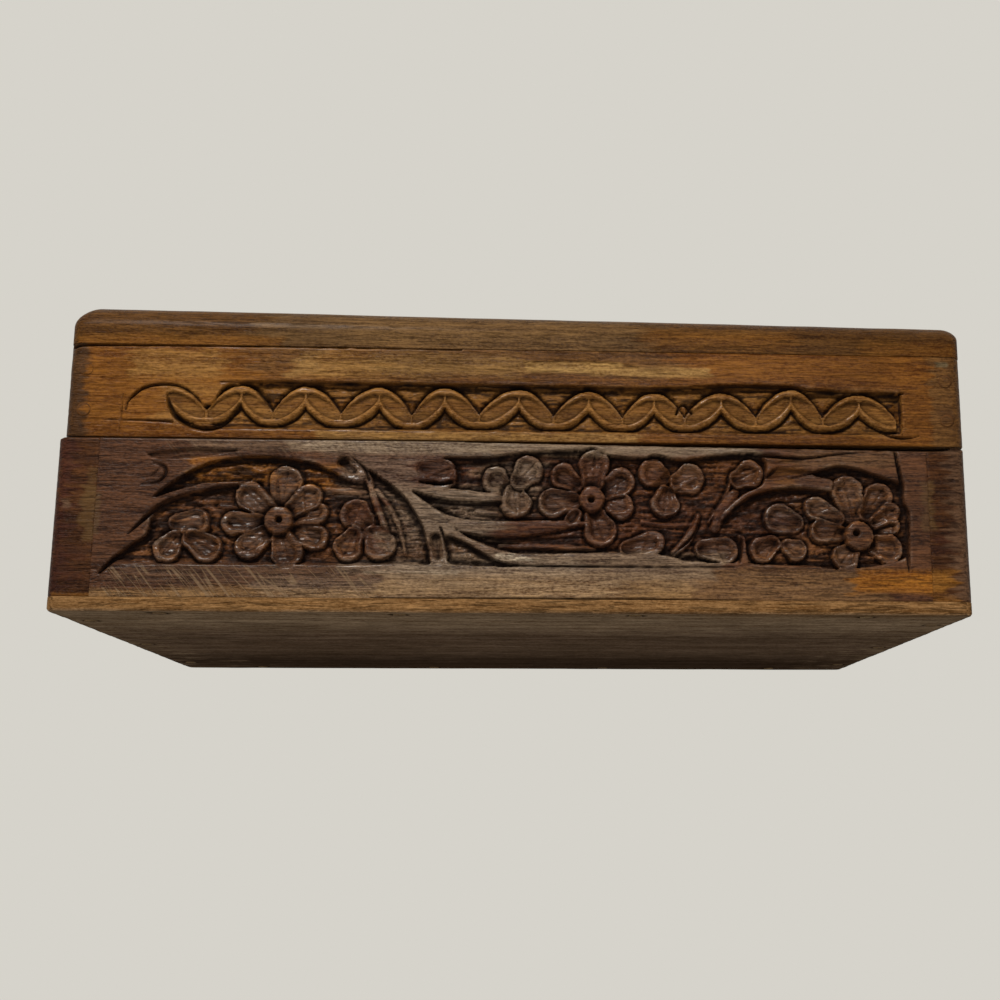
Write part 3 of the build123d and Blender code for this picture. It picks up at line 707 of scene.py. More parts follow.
# Trefoils and loose leaves
for root, tip, width in [
    ((-56.6, 14.7), (-53.8, 14.8), 4.2), ((-57.2, 11.8), (-58.0, 10.4), 4.2),
    ((-54.2, 12.0), (-51.8, 10.5), 4.4), ((-26.5, 15.2), (-27.9, 16.3), 4.8),
    ((-24.9, 12.9), (-23.9, 11.4), 4.9), ((-28.2, 12.6), (-29.0, 10.9), 4.4),
    ((-3.6, 21.4), (-4.7, 22.3), 4.3), ((-1.6, 20.2), (-1.4, 18.7), 4.9),
    ((-0.6, 22.6), (0.6, 24.0), 4.7), ((23.3, 23.3), (22.0, 23.9), 4.6),
    ((24.2, 20.2), (24.0, 18.9), 4.7), ((26.6, 22.4), (28.0, 22.9), 4.9),
    ((46.0, 15.6), (43.6, 16.3), 4.8), ((45.0, 11.6), (46.1, 11.0), 3.6),
    ((42.2, 12.0), (40.6, 11.0), 4.2), ((17.6, 11.1), (21.8, 12.0), 3.8),
    ((30.5, 11.1), (34.0, 10.8), 4.2), ((36.9, 23.2), (38.4, 23.9), 4.6),
    ((-30.1, 25.0), (-28.5, 23.7), 2.8),
]:
    front.petal(root, tip, width)
front.petal((-16.7, 24.1), (-13.8, 23.8), 3.6, hollow=0.45, root_drop=0.15, vein=0)
front.petal((-14.6, 12.4), (-14.2, 9.4), 2.9, hollow=0.7, root_drop=0.1)

# Stop cuts, V cuts and scored lines. The last two are the gap that opens towards the right
# under the slightly twisted lid, and the one over the bottom panel.
for points, depth in [
    ([(-64.1, 12.7, 0.3), (-62, 14.9, 0.8), (-60.2, 16.7, 1.1), (-58, 18.0, 1.2),
      (-55, 19.1, 1.2), (-50, 20.2, 1.3), (-47.4, 20.6, 1.1)], 1.55),
    ([(-67.8, 6.2, 0.5), (-65.6, 8.7, 0.9), (-63.3, 10.7, 1.0), (-61.2, 12.0, 0.9),
      (-58.6, 13.5, 0.3)], 1.5),
    ([(-60.6, 18.9, 0.3), (-57, 21.6, 0.8), (-53, 23.9, 1.1), (-49, 25.0, 1.1),
      (-44, 25.5, 1.1), (-38, 25.1, 0.9), (-33.5, 23.9, 0.8), (-30, 22.1, 0.6)], 1.45),
    ([(-26.4, 23.9, 0.3), (-23.2, 21.6, 0.8), (-20.8, 19.7, 0.9), (-18.8, 17.2, 0.8),
      (-17.3, 14.6, 0.8), (-16.4, 12.0, 0.7), (-15.6, 8.4, 0.5)], 1.35),
    ([(-28.8, 25.9, 0.3), (-26.6, 23.9, 0.6), (-25.9, 22.2, 0.7)], 1.0),
    ([(-18.6, 20.3, 0.2), (-16.5, 19.1, 0.6), (-14, 18.5, 1.0), (-8, 18.2, 1.1),
      (-4, 18.4, 0.9)], 1.6),
    ([(-11.4, 13.8, 0.2), (-8, 12.9, 0.7), (-3, 12.2, 0.9), (3, 12.4, 0.9),
      (9.5, 13.0, 0.7)], 1.5),
    ([(-12.9, 12.8, 0.3), (-10, 11.5, 0.9), (-7, 9.7, 1.0), (-4, 8.4, 0.7),
      (0, 7.9, 0.5), (20, 7.8, 0.35), (35.5, 7.9, 0.25)], 1.3),
    ([(-13.9, 14.2, 0.3), (-13.3, 12.6, 0.5), (-12.8, 10.4, 0.4)], 1.0),
    ([(-17.6, 21.9, 0.2), (-15, 21.7, 0.6), (-12.6, 21.8, 0.7)], 1.1),
    ([(-60.8, 24.6, 0.3), (-59.1, 23.9, 0.7), (-58.9, 22.5, 0.7), (-60.2, 21.3, 0.6),
      (-62.6, 21.0, 0.2)], 0.55),
    ([(-63.0, 22.0, 0.2), (-61, 22.4, 0.4), (-60.2, 23.4, 0.3)], 0.3),
    ([(33.6, 15.6, 0.4), (36.8, 18.4, 1.0), (40, 20.0, 1.2), (44, 20.9, 1.2),
      (48, 21.1, 1.1), (52.4, 20.8, 0.6)], 1.6),
    ([(45.8, 23.2, 0.2), (49.5, 24.1, 0.5), (54, 25.1, 0.8), (57, 24.7, 0.8),
      (60, 23.7, 0.8), (64.2, 22.4, 0.6)], 1.35),
    ([(43.4, 24.9, 0.2), (42.2, 23.9, 0.6), (41.2, 23.2, 0.4)], 0.9),
    ([(63.7, 28.3, 0.3), (64.2, 25, 0.7), (64.7, 22, 0.8), (64.6, 19.5, 0.6),
      (65.4, 17.5, 0.7), (65.3, 13, 0.7), (65.2, 9.5, 0.6), (65.2, 7.4, 0.2)], 1.5),
    ([(36.9, 13.4, 0.5), (36.8, 11, 0.5), (36.5, 8.8, 0.3)], 1.2),
    ([(38.0, 12.6, 0.5), (37.9, 10.8, 0.5), (38.1, 9.2, 0.3)], 1.2),
    ([(29.3, 14.6, 0.3), (28.2, 12.6, 0.6), (25.3, 10.1, 0.4)], 1.1),
    ([(-13.5, 26.0, 0.3), (-6, 26.1, 0.5), (0, 26.9, 0.5), (9, 27.5, 0.5)], 1.3),
    ([(14.5, 26.6, 0.5), (20, 26.2, 0.5), (27, 26.0, 0.5), (34, 26.9, 0.6),
      (40.5, 27.0, 0.7), (48, 26.6, 0.5), (54, 27.4, 0.3), (62, 28.1, 0.1)], 1.2),
    ([(43, 25.9, 0.1), (46, 26.2, 0.4), (49, 26.0, 0.1)], 0.5),
    ([(-59.5, 7.7, 0.1), (-66.3, 7.3, 0.3)], 0.3),
    ([(-66.5, 6.6, 0.3), (-72, 7.3, 0.3), (-74.6, 7.6, 0.2)], 0.3),
    ([(38, 8.7, 0.3), (46, 8.3, 0.3), (57, 8.0, 0.3)], 0.5),
    ([(-59, 16.9, 0.1), (-56.5, 18.3, 0.4), (-53, 18.5, 0.2)], 1.3),
    ([(-10, 28.8, 0.2), (22, 28.8, 0.9), (50, 28.8, 1.3), (72, 28.8, 1.6)], 2.6),
    ([(-25, 2.3, 0.1), (0, 2.3, 0.5), (20, 2.3, 0.5), (36, 2.3, 0.1)], 0.8),
]:
    front.groove(points, depth)
front.plane_marks(5)
front.ease_edges(0.03, 0.03, 0.1, 0.3)

# Colour by name, left, right, low, high, strength, softness and seed: sapwood along the
# bottom and at the upper right, a golden ground, a painted grey sheen, painted highlights, glue
# and filler at both ends
for patch in (
    ("sap", -70, -56, 2.0, 3.6, 0.75, 0.6, 41), ("sap", -58, -20, 2.0, 3.9, 0.8, 0.7, 42),
    ("sap", -24, 28, 2.0, 6.6, 0.9, 0.8, 43), ("grey", -22, 32, 5.4, 8.8, 0.7, 0.8, 66),
    ("sap", 20, 62, 2.0, 7.6, 0.4, 0.8, 44), ("sap", 44, 64, 25.2, 28.0, 0.2, 0.9, 45),
    ("golden", 56, 71, 3.8, 7.4, 1.0, 0.8, 46), ("golden", -55, -41, 21.6, 25.6, 0.75, 0.5, 47),
    ("golden", -36, -31, 20.8, 24.4, 0.6, 0.6, 48), ("golden", 24, 36, 22.5, 26.5, 0.4, 0.8, 65),
    ("golden", 22, 46, 20.0, 26.5, 0.35, 1.5, 49), ("red", -28, 45, 10.5, 27.0, 0.5, 2.0, 50),
    ("grey", -56, -36, 26.8, 29.5, 0.35, 0.8, 51), ("grey", -40, 40, 26.8, 29.5, 1.0, 0.8, 51),
    ("grey", -66, -20, 4.5, 7.6, 0.15, 0.8, 52), ("grey", -14, 34, 7.8, 10.4, 0.75, 0.7, 53),
    ("grey", -20, 30, 4.4, 7.2, 0.35, 1.0, 68), ("grey", -24, -4, 10.0, 21.0, 0.55, 1.5, 54),
    ("grey", -8, 3, 16.5, 25.8, 0.45, 1.0, 64), ("gleam", -5, 1.5, 8.5, 9.5, 0.45, 0.4, 57),
    # Painted glints beside the long stem, then the painted sheen over the middle
    *(("gleam", left, left + 1.5, low, low + 0.6, 1.0, 0.2, 67) for left, low in (
        (-4.6, 9.2), (-3.4, 8.9), (-2.6, 9.3), (-1.6, 8.7), (-0.8, 9.0), (0.4, 8.6))),
    ("gleam", -26, -10, 6.4, 7.0, 0.4, 0.4, 58), ("gleam", -36, -4, 26.6, 29, 0.22, 1.2, 69),
    ("gleam", -44, 16, 2.2, 5.4, 0.15, 1.2, 69), ("gleam", -20, -5, 13, 21, 0.18, 1.2, 69),
    ("gleam", -31, -18, 19, 26, 0.15, 1.2, 69), ("gleam", -6, 4, 20, 26, 0.1, 1.2, 69),
    ("gleam", -30, 10, 6.6, 9.0, 0.2, 1.2, 69), ("close", -24, 40, 2.6, 8.5, 1.0, 1.0, 59),
    ("close", -56, 40, 26.8, 29, 0.7, 1.0, 60),
    # Strokes of a coarse file, and the filler in the joints
    ("filed", -67, -24, 1.0, 7.2, 1.0, 0.8, 61), ("filed", -26, 2, 3.6, 6.6, 0.35, 1.5, 62),
    ("filed", -60, 20, 26.2, 29, 0.3, 1.0, 63), ("putty", -69.5, -68.3, 12.5, 19.5, 0.9, 0.2, 55),
    ("putty", 67.9, 69.5, 14.2, 22.8, 0.7, 0.3, 56),
):
    front.tint(*patch)

box_front, board_back = (corner[1] for corner in corners("base_front_board"))


def place_front(x, z, height):
    """The drawing on the board, a little stretched towards its middle."""
    drawn = [-69, -64, -40, -17, 13, 57, 69]
    return x + np.interp(x, drawn, [0, 0.7, 1.0, 1.0, 0.6, -0.1, 0]), box_front - height, z


front_shell = relief_shell(front, place_front)
extrude_ends(front_shell, inner_y=board_back)
close_board(front_shell, board_foot, board_rim)
finish_piece(
    "carved_front_board", front_shell, "base", ["base_front_board"], front_finish
)

# ---- Base end boards --------------------------------------------------------------------
# The same hardwood, 7 mm thick, standing the full depth of the box, so that their end grain
# shows at the front; brown filler lies in the joints. Each is carved with a blossom.
base_corner_radius = 2.0
end_finish_wood = wood_finish(
    "dark_hardwood_ends", 1, (40, 22, 12), (92, 58, 36),
    [
        ("lit", (80, 44, 22), (126, 82, 46)),
        ("edge", (38, 18, 6), (90, 54, 27)),
        ("red", (40, 16, 12), (74, 40, 28)),
        ("pale", (78, 54, 38), (116, 88, 66)),
        ("dusk", (26, 12, 6), (56, 32, 20)),
        ("putty", (76, 52, 28), (94, 68, 38)),
        ("sap", (98, 58, 14), (158, 106, 44)),
    ],
    seed=4, shine=0.5, crossed="edge",
)


def bend_back(s, first, last, radius):
    """Where a place on a skin lies once the skin is bent back round a board's two edges.

    Gives the way along, the way back in the bend and straight beyond it, and the normal's
    two parts.
    """
    over = np.where(s < first, first - s, np.maximum(s - last, 0))
    side = np.where(s < first, -1.0, 1.0)
    angle = np.minimum(over / radius, np.pi / 2)
    straight = np.maximum(over - radius * np.pi / 2, 0)
    along = np.clip(s, first, last) + side * radius * np.sin(angle)
    return along, radius * (1 - np.cos(angle)), straight, side * np.sin(angle), np.cos(angle)


def carve_end(face, half, middle):
    """Sink a long panel and leave a blossom, two trefoils and four leaves in it."""
    face.sink([(along, middle + up) for along, up in (
        (-half, -7.0), (-half - 1.8, 0), (-half, 7.6), (-half / 2, 9.0), (0, 8.7),
        (half / 2, 9.1), (half, 7.8), (half + 1.6, 0), (half, -7.2),
        (half / 2, -8.1), (0, -7.9), (-half / 2, -8.2))], 1.05)
    face.roughen_ground(0.24, 61)
    for turn in (-1, 1):
        face.stem([(turn * 9, middle - 1.5, 1.4), (turn * 16, middle - 4.6, 1.9),
                   (turn * 24, middle - 3.0, 1.6), (turn * 31, middle - 5.6, 1.2)], top=-0.15)
        face.stem([(turn * 9, middle + 2.0, 1.2), (turn * 15, middle + 5.6, 1.6),
                   (turn * 22, middle + 4.0, 1.1)], top=-0.2)
        face.petal((turn * 12, middle + 0.4), (turn * 15.6, middle + 1.4), 4.0)
        face.petal((turn * 19, middle + 0.6), (turn * 22.4, middle + 0.2), 3.6)
        for root, tip in (((27.4, 3.4), (27.0, 5.0)), ((29.2, 1.4), (31.4, 0.6)),
                          ((26.4, 0.8), (24.9, -0.4))):
            face.petal((turn * root[0], middle + root[1]), (turn * tip[0], middle + tip[1]), 4.4)
        face.petal((turn * 33.4, middle + 4.4), (turn * 35.2, middle + 3.2), 3.4)
    face.whorl((0, middle), 8, 0.15, 2.6, 5.6, 4.3)
    face.disc((0, middle), 2.4)


def end_board(side, node, marks):
    """An end board of the base, wrapped round from its front to its back end grain."""
    low, high = corners(node)
    outer, inner = (high[0], low[0]) if side > 0 else (low[0], high[0])
    first, last = low[1] + base_corner_radius, high[1] - base_corner_radius
    reach = abs(outer - inner) - base_corner_radius + base_corner_radius * math.pi / 2
    face = Relief(first - reach, last + reach, low[2], high[2], 0.25)
    carve_end(face, 33.0, 17.1)
    face.plane_marks(63)
    face.ease_edges(0.12, 0.12, 0.1, 0.35)
    marks(face, first)

    def place(s, z, height):
        """The board's skin: its face, and its end grain in front and at the back."""
        along, bent, straight, lean, out = bend_back(s, first, last, base_corner_radius)
        return outer - side * (bent + straight - out * height), along + lean * height, z

    shell = relief_shell(face, place)
    close_board(shell, low[2], high[2])
    # The back end is bevelled from just under the hinge pin, so that the lid can lean back
    bevel_foot, bevel = (0, 49.4, 28.9), math.radians(50)
    cut_off(shell, bevel_foot, (0, math.sin(bevel), math.cos(bevel)))
    return shell


def left_marks(face, first):
    """Marks of the left end board: s runs on past its front corner over the front edge."""
    corner = first - base_corner_radius * math.pi / 2
    for patch in (
        ("edge", corner - 9, first - 1.5, 0, 30, 1.0, 0.4, 71),
        ("red", corner - 0.6, corner + 2.2, 2, 29, 0.85, 0.9, 72),
        ("red", corner - 2.6, corner, 5, 10.5, 0.5, 1.0, 72),
        ("putty", corner - 5.3, corner - 2.9, 11.4, 20.6, 0.95, 0.35, 73),
        ("putty", corner - 5.1, corner - 3.9, 20, 23.6, 0.6, 0.3, 74),
        ("pale", corner - 1.0, corner + 0.3, 16.9, 18.2, 0.9, 0.3, 75),
        ("sap", corner - 6, corner + 1, 2.0, 2.9, 0.6, 0.3, 76),
    ):
        face.tint(*patch)
    for z in (8.2, 12.4, 19.1, 22.8, 26.6):
        face.groove([(corner - 4.8, z, 0.12), (corner - 2.4, z + 0.2, 0.2),
                     (corner - 0.4, z - 0.1, 0.1)], 0.15)
    for z in (9.4, 14.6, 21.2, 24.8):
        face.tint("dusk", corner - 6, corner - 0.2, z, z + 0.8, 0.7, 0.4, 77)


def right_marks(face, first):
    """Marks of the right end board, with the gap under the twisted lid carried on over it."""
    corner = first - base_corner_radius * math.pi / 2
    for patch in (
        ("edge", corner - 9, first - 1.5, 0, 30, 1.0, 0.4, 81),
        ("pale", corner - 1.6, corner + 3.4, 2, 29, 0.7, 0.9, 82),
        ("putty", corner - 5.3, corner - 4.1, 14.4, 22.8, 0.85, 0.3, 83),
        ("sap", corner - 6, corner - 1.2, 4.0, 7.4, 1.0, 0.7, 84),
        ("sap", corner - 6, corner - 0.6, 2.0, 3.4, 0.5, 0.6, 86),
        ("red", corner - 4.4, corner - 0.4, 10.5, 14.0, 0.6, 0.9, 85),
    ):
        face.tint(*patch)
    face.groove([(corner - 8, 28.8, 1.6), (corner - 3, 28.8, 1.5), (corner - 1, 28.8, 1.2)], 2.4)
    face.groove([(corner - 2, 28.7, 1.2), (corner + 0.8, 28.5, 0.8), (corner + 2, 28.7, 0.2)], 0.7)
    for z in (9.6, 12.2, 17.0, 19.0, 23.0):
        face.groove([(corner - 4.8, z, 0.12), (corner - 2.4, z - 0.1, 0.25),
                     (corner - 0.4, z + 0.1, 0.1)], 0.3)
    for z in (8.6, 11.0, 13.4, 15.8, 18.0, 20.6, 22.4, 25.0):
        face.tint("dusk", corner - 6, corner - 0.2, z, z + 0.8, 0.7, 0.4, 87)


for side, node, name, marks in (
    (-1, "base_left_board", "carved_left_board", left_marks),
    (1, "base_right_board", "carved_right_board", right_marks),
):
    finish_piece(name, end_board(side, node, marks), "base", [node], end_finish_wood)

# ---- Lid front rail and end rails --------------------------------------------------------
# A lighter orange-brown hardwood, 8 mm thick in front and 6 mm at the ends. A sunk band runs
# round it with a wave left standing, each arm of the wave cut with one hollow gouge stroke.
lid_corner_radius = 2.0
lid_tints = [
    ("brown", (58, 36, 14), (120, 86, 48)),
    ("amber", (92, 48, 4), (144, 92, 30)),
    ("straw", (102, 68, 24), (184, 144, 84)),
    ("dusk", (48, 28, 12), (88, 58, 30)),
    ("filler", (84, 72, 50), (116, 102, 76)),
    # The arm tint is the standing wave's painted highlight
    ("arm", (96, 58, 18), (164, 116, 60)),
]
lid_front_finish, lid_end_finish = (
    wood_finish(f"orange_hardwood_{part}", axis, (70, 36, 6), (130, 82, 30), lid_tints,
                seed=seed, worn=(158, 116, 70), pores=pores, shine=0.6)
    for part, axis, seed, pores in (("front", 0, 7, 0.22), ("ends", 1, 9, 0.35))
)


def cut_wave(face, turns):
    """Leave a fat wave standing in the sunk band: its turns are round outside, sharp inside.

    turns go by x, z of the outer edge, z of the inner corner, and alternate up and down.
    """
    round_power, sharp_power = 2.1, 2.5
    area = face.window([turns[0][:2], turns[-1][:2]], 7)
    x, z = face.x[area], face.z[area]
    beyond = np.full(x.shape, 9.0)
    hollows = np.zeros(x.shape)
    for start, end in zip(turns[:-1], turns[1:]):
        crest, foot = (start, end) if start[1] > end[1] else (end, start)
        share = (x - crest[0]) / (foot[0] - crest[0])
        spans = (share >= 0) & (share <= 1)
        share = np.clip(share, 0, 1)
        half_pitch = abs(foot[0] - crest[0])
        fall, lift = crest[1] - foot[2], crest[2] - foot[1]
        upper = crest[1] - fall * share**round_power
        lower = foot[1] + lift * (1 - share) ** sharp_power
        upper_slope = round_power * fall * share ** (round_power - 1) / half_pitch
        lower_slope = sharp_power * lift * (1 - share) ** (sharp_power - 1) / half_pitch
        edge = np.maximum((z - upper) / np.hypot(1, upper_slope),
                          (lower - z) / np.hypot(1, lower_slope))
        beyond = np.where(spans, edge, beyond)
        # The gouge stroke down the arm, broadest in its middle
        way = math.copysign(1, foot[0] - crest[0])
        high = (crest[0] + way * 0.3, crest[1] - 1.5)
        deep = (foot[0] - way * 0.3, foot[1] + 1.3)
        distance, along = segment_distance(x, z, high, deep)
        half_width = 0.35 + 1.0 * np.sin(np.pi * along) ** 0.5
        hollow = soft_step(distance, half_width + 0.1, half_width - 0.3)
        hollows = np.maximum(hollows, hollow)
    beyond = beyond + face.wobble[area] * 0.8
    top = -0.03 - 0.42 * soft_step(beyond, -0.75, 0.1) - 0.6 * hollows
    face.stand(area, beyond, top + face.wobble[area] * 0.25, moat=0.8)
    # The gouged hollows are painted darker, painted shade, and the standing wave lighter than its
    # ground, a painted highlight, less in the hollows
    face.paint_shade_and_dirt(area, 0.4 * hollows)
    face.tints["arm"] = np.zeros(face.x.shape)
    face.tints["arm"][area] = soft_step(beyond, 0, -0.4) * (1 - 0.6 * hollows)


rail_thickness = 8.0
rail_low, rail_high = corners("lid_front_rail")
first, last = rail_low[0] + lid_corner_radius, rail_high[0] - lid_corner_radius
reach = rail_thickness - lid_corner_radius + lid_corner_radius * math.pi / 2
rail = Relief(first - reach, last + reach, rail_low[2], rail_high[2], 0.2)
rail.sink(
    [(-51.4, 34.8), (-50.0, 37.0), (-48.4, 38.3), (-44.5, 38.5), (-43.5, 38.8), (-40, 38.6),
     (-20, 38.5), (0, 38.5), (10, 38.5), (22, 38.4), (36, 39.0), (45, 39.1), (50.5, 38.4),
     (64.6, 38.1), (64.8, 38.0), (64.9, 31.4), (64.8, 31.1), (58, 30.9), (40, 30.8),
     (20, 30.6), (-20, 30.5), (-40, 30.5), (-50, 30.5), (-55, 31.0), (-57.6, 33.2),
     (-57.0, 35.0), (-54.5, 34.6)],
    0.95, foot=0.3,
)
rail.roughen_ground(0.12, 91)
# The band's ground rises towards its lower edge, and its first pocket is shallow
rail.height *= soft_step(rail.z, 30.0, 32.2) * (0.45 + 0.55 * soft_step(rail.x, -51.5, -49))
rail.height += soft_step(rail.z, 37.8, 32.8) * 0.35 * soft_step(-rail.height, 0.6, 0.9)
crests = [(-58.6, 38.0), (-46.5, 38.1), (-35.9, 38.1), (-23.6, 38.1), (-12.7, 38.2),
          (-0.2, 38.1), (11.6, 37.9), (22.7, 37.8), (34.2, 38.0), (46.2, 38.8), (57.9, 38.0)]
feet = [(-52.1, 30.8), (-41.3, 30.7), (-30.0, 30.7), (-18.2, 30.4), (-6.9, 30.7),
        (5.6, 30.6), (17.3, 30.5), (27.9, 30.7), (40.1, 30.8), (51.6, 30.9), (64.2, 31.0)]
cut_wave(rail, [
    turn for (x, z), (x_foot, z_foot) in zip(crests, feet)
    for turn in ((x, z, z - 3.5), (x_foot, z_foot + 0.6, z_foot + 2.9))
])
# Stop cuts round the band, scored lines that ran on, and the cut over the whole seam
for points, depth in [
    ([(-65.2, 33.6, 0.2), (-64.8, 35.2, 0.4), (-62.6, 37.3, 0.6), (-59.5, 38.0, 0.6),
      (-56.6, 37.7, 0.5), (-54.2, 36.2, 0.5), (-52.9, 34.7, 0.3)], 0.8),
    ([(-58.6, 36.3, 0.5), (-58.0, 34.2, 1.0), (-56.3, 32.0, 1.1), (-53, 30.6, 1.0),
      (-50.4, 30.7, 0.9), (-48.4, 32.0, 1.0), (-46.6, 34.8, 0.7)], 1.35),
    ([(-71, 31.9, 0.2), (-62, 31.8, 0.35), (-57.5, 31.6, 0.45)], 0.5),
    ([(-50, 38.6, 0.2), (-40, 38.7, 0.6), (-20, 38.6, 0.6), (0, 38.6, 0.6), (22, 38.5, 0.6),
      (36, 39.1, 0.7), (45, 39.2, 0.7), (50.5, 38.5, 0.7), (64, 38.2, 0.5)], 1.1),
    ([(-65.9, 36.2, 0.15), (-65.9, 33, 0.25), (-66.0, 29.6, 0.15)], 0.25),
    ([(65.0, 38.3, 0.3), (65.0, 35, 0.5), (65.0, 31.6, 0.3)], 1.1),
    ([(61.5, 31.4, 0.6), (64, 30.5, 0.7), (66.4, 30.4, 0.4), (68.0, 30.8, 0.15)], 1.0),
    ([(26.5, 34.2, 0.7), (27.2, 35.7, 0.8), (28.0, 35.8, 0.8), (29.1, 34.4, 0.7)], 1.7),
    ([(0.5, 42.8, 0.1), (6, 43.1, 0.25), (14, 43.0, 0.25), (20, 42.2, 0.15)], 0.2),
    ([(-44.5, 37.6, 0.2), (-42.9, 35.8, 0.6), (-41.3, 34.2, 0.7)], 0.9),
    ([(-75, 44.3, 0.5), (-71, 44.7, 0.5), (-60, 44.8, 0.35), (-45, 44.9, 0.25)], 0.7),
    ([(-45, 44.9, 0.25), (-25, 44.9, 0.2), (-10, 44.8, 0.15)], 0.4),
    ([(-18, 40.6, 0.1), (-14, 42.4, 0.2)], 0.06),
]:
    rail.groove(points, depth)
rail.plane_marks(95, depth=0.025)
rail.ease_edges(0.1, 0.1, 0.15, 0.1)
corner = first - lid_corner_radius * math.pi / 2
for name, left, right, low, high, amount, soft in [
    ("brown", -46, 26, 40.2, 46, 0.6, 1.6), ("brown", -52, -36, 40.4, 46, 0.4, 1.5),
    ("straw", -34, 20, 28.6, 30.6, 0.55, 0.6), ("straw", -65, -50, 39.2, 44.2, 0.35, 1.0),
    ("straw", 0.5, 17, 41.1, 42.9, 1.0, 0.35), ("straw", 12, 32, 40.6, 42.2, 0.8, 0.5),
    ("straw", -38, 0, 39.6, 44.0, 0.45, 1.2), ("amber", -76, -46, 29, 46, 0.45, 2.0),
    ("amber", 28, 70, 40.2, 46, 0.45, 1.5), ("amber", -34, -24, 40, 44.5, 0.5, 1.5),
    ("dusk", corner - 9, first + 1.2, 28, 46, 1.0, 0.5),
    ("dusk", corner - 9, first, 28, 46, 1.0, 0.1),
    ("brown", 70.6, last + 9, 28, 46, 0.7, 0.5), ("dusk", last, last + 9, 28, 46, 0.3, 0.6),
    ("straw", -60, 64, 31.0, 34.2, 0.25, 1.0), ("straw", -60, 64, 35.7, 38.4, 0.2, 1.0),
    ("dusk", 71.6, 74.6, 33.2, 35.9, 0.8, 0.5), ("filler", 71.4, 73.6, 43.1, 44.0, 0.8, 0.2),
]:
    rail.tint(name, left, right, low, high, amount, soft, seed=100 + len(name))


def place_rail(s, z, height):
    """The rail's skin: its face, and its two ends behind the rounded corners."""
    along, bent, straight, lean, out = bend_back(s, first, last, lid_corner_radius)
    return along + lean * height, rail_low[1] + (bent + straight) - out * height, z


rail_shell = relief_shell(rail, place_rail)
close_board(rail_shell, rail_low[2], rail_high[2])
finish_piece(
    "waved_front_rail", rail_shell, "lid", ["lid_front_rail"], lid_front_finish
)

for side, node, name in (
    (-1, "lid_left_rail", "waved_left_rail"), (1, "lid_right_rail", "waved_right_rail")
):
    low, high = corners(node)
    outer, inner = (high[0], low[0]) if side > 0 else (low[0], high[0])
    face = Relief(low[1], high[1], low[2], high[2], 0.25)
    face.sink([(-40.8, 39.5), (-20, 39.7), (20, 39.6), (40.8, 39.5), (40.9, 31.6),
               (20, 31.3), (-20, 31.4), (-40.9, 31.6)], 0.95, foot=0.3)
    face.roughen_ground(0.12, 111)
    cut_wave(face, [
        (5.7 * k, 31.6, 34.5) if k % 2 else (5.7 * k, 39.2, 35.7) for k in range(-7, 8)
    ])
    face.plane_marks(115)
    face.ease_edges(0.1, 0.1, 0.15, 0.1)
    face.tint("brown", -20, 24, 40, 46, 0.6, 1.5, 117)
    face.tint("amber", -44, -10, 28, 34, 0.5, 2.0, 118)
    shell = relief_shell(face, lambda s, z, h: (outer + side * h, s, z))
    extrude_ends(shell, inner_x=inner)
    close_board(shell, low[2], high[2])
    finish_piece(name, shell, "lid", [node], lid_end_finish)

# ---- Lid top board -----------------------------------------------------------------------
# One 7.5 mm board nailed down on the rails, its upper edges rounded over by hand, a little
# thinner at the right. A cross stands in a sunk panel between four flower sprays.
top_finish = wood_finish(
    "brown_hardwood_top", 0, (60, 34, 10), (118, 80, 36),
    [
        ("umber", (48, 26, 8), (100, 66, 30)),
        # The dun tint is a painted highlight along the middle of the front edge
        ("dun", (68, 46, 24), (128, 98, 62)),
        ("amber", (86, 48, 12), (142, 94, 38)),
    ],
    seed=12, pores=0.3, shine=0.35,
)
board_low, board_high = corners("lid_top_board")
board_middle = (board_low[0] + board_high[0]) / 2
half_length = (board_high[0] - board_low[0]) / 2
half_depth = (board_high[1] - board_low[1]) / 2
edge_radius = 5.0
left_end_radius, right_end_radius = 4.0, 2.5
upright = board_high[2] - board_low[2] - edge_radius
board_thickness, right_fall = 7.5, 1.2  # the fall is how much thinner the right end is


def over_edge(s, half, radius):
    """Where a place goes as the board's skin turns down over its edge.

    Gives the way out, the drop round the edge, and the share of the upright below it.
    """
    out, drop, past, *_ = bend_back(s, radius - half, half - radius, radius)
    below = upright + (edge_radius - radius) * (np.pi / 2 - 1)
    return out, drop, np.clip(past / below, 0, 1)


def round_plan(out_x, out_y, half_x, half_y, radius):
    """Draw a skin in at its four upright corners, as on a board with rounded corners."""
    near_x = np.clip((np.abs(out_x) - half_x) / radius + 1, 0, 1)
    near_y = np.clip((np.abs(out_y) - half_y) / radius + 1, 0, 1)
    pull_x = near_x * (1 - np.sqrt(1 - near_y**2 / 2)) * radius
    pull_y = near_y * (1 - np.sqrt(1 - near_x**2 / 2)) * radius
    return out_x - np.sign(out_x) * pull_x, out_y - np.sign(out_y) * pull_y


def drape(x, y, height):
    """The board's skin: flat on top, rounded over, then upright down to the rails."""
    end_radius = np.where(x < 0, left_end_radius, right_end_radius)
    out_x, drop_x, share_x = over_edge(x, half_length, end_radius)
    out_y, drop_y, share_y = over_edge(y, half_depth, edge_radius)
    out_x, out_y = round_plan(out_x, out_y, half_length, half_depth, lid_corner_radius)
    left = edge_radius + upright - drop_x - drop_y + drop_x * drop_y / edge_radius
    level = left * (1 - np.maximum(share_x, share_y))
    level *= 1 - right_fall / board_thickness * (0.5 + x / half_length / 2)
    return out_x + board_middle, out_y, board_low[2] + np.maximum(level + height, 0)


skin_x = half_length - edge_radius + edge_radius * math.pi / 2 + upright
skin_y = half_depth - edge_radius + edge_radius * math.pi / 2 + upright
top = Relief(-skin_x, skin_x, -skin_y, skin_y, 0.45)
top.wall = 0.3
border = 14
panel_x, panel_y = half_length - border, half_depth - border


def top_place(across, up, width=None):
    """A point of the panel from its shares of the panel's half length and depth."""
    place = (across * panel_x, up * panel_y)
    return place if width is None else (*place, width)


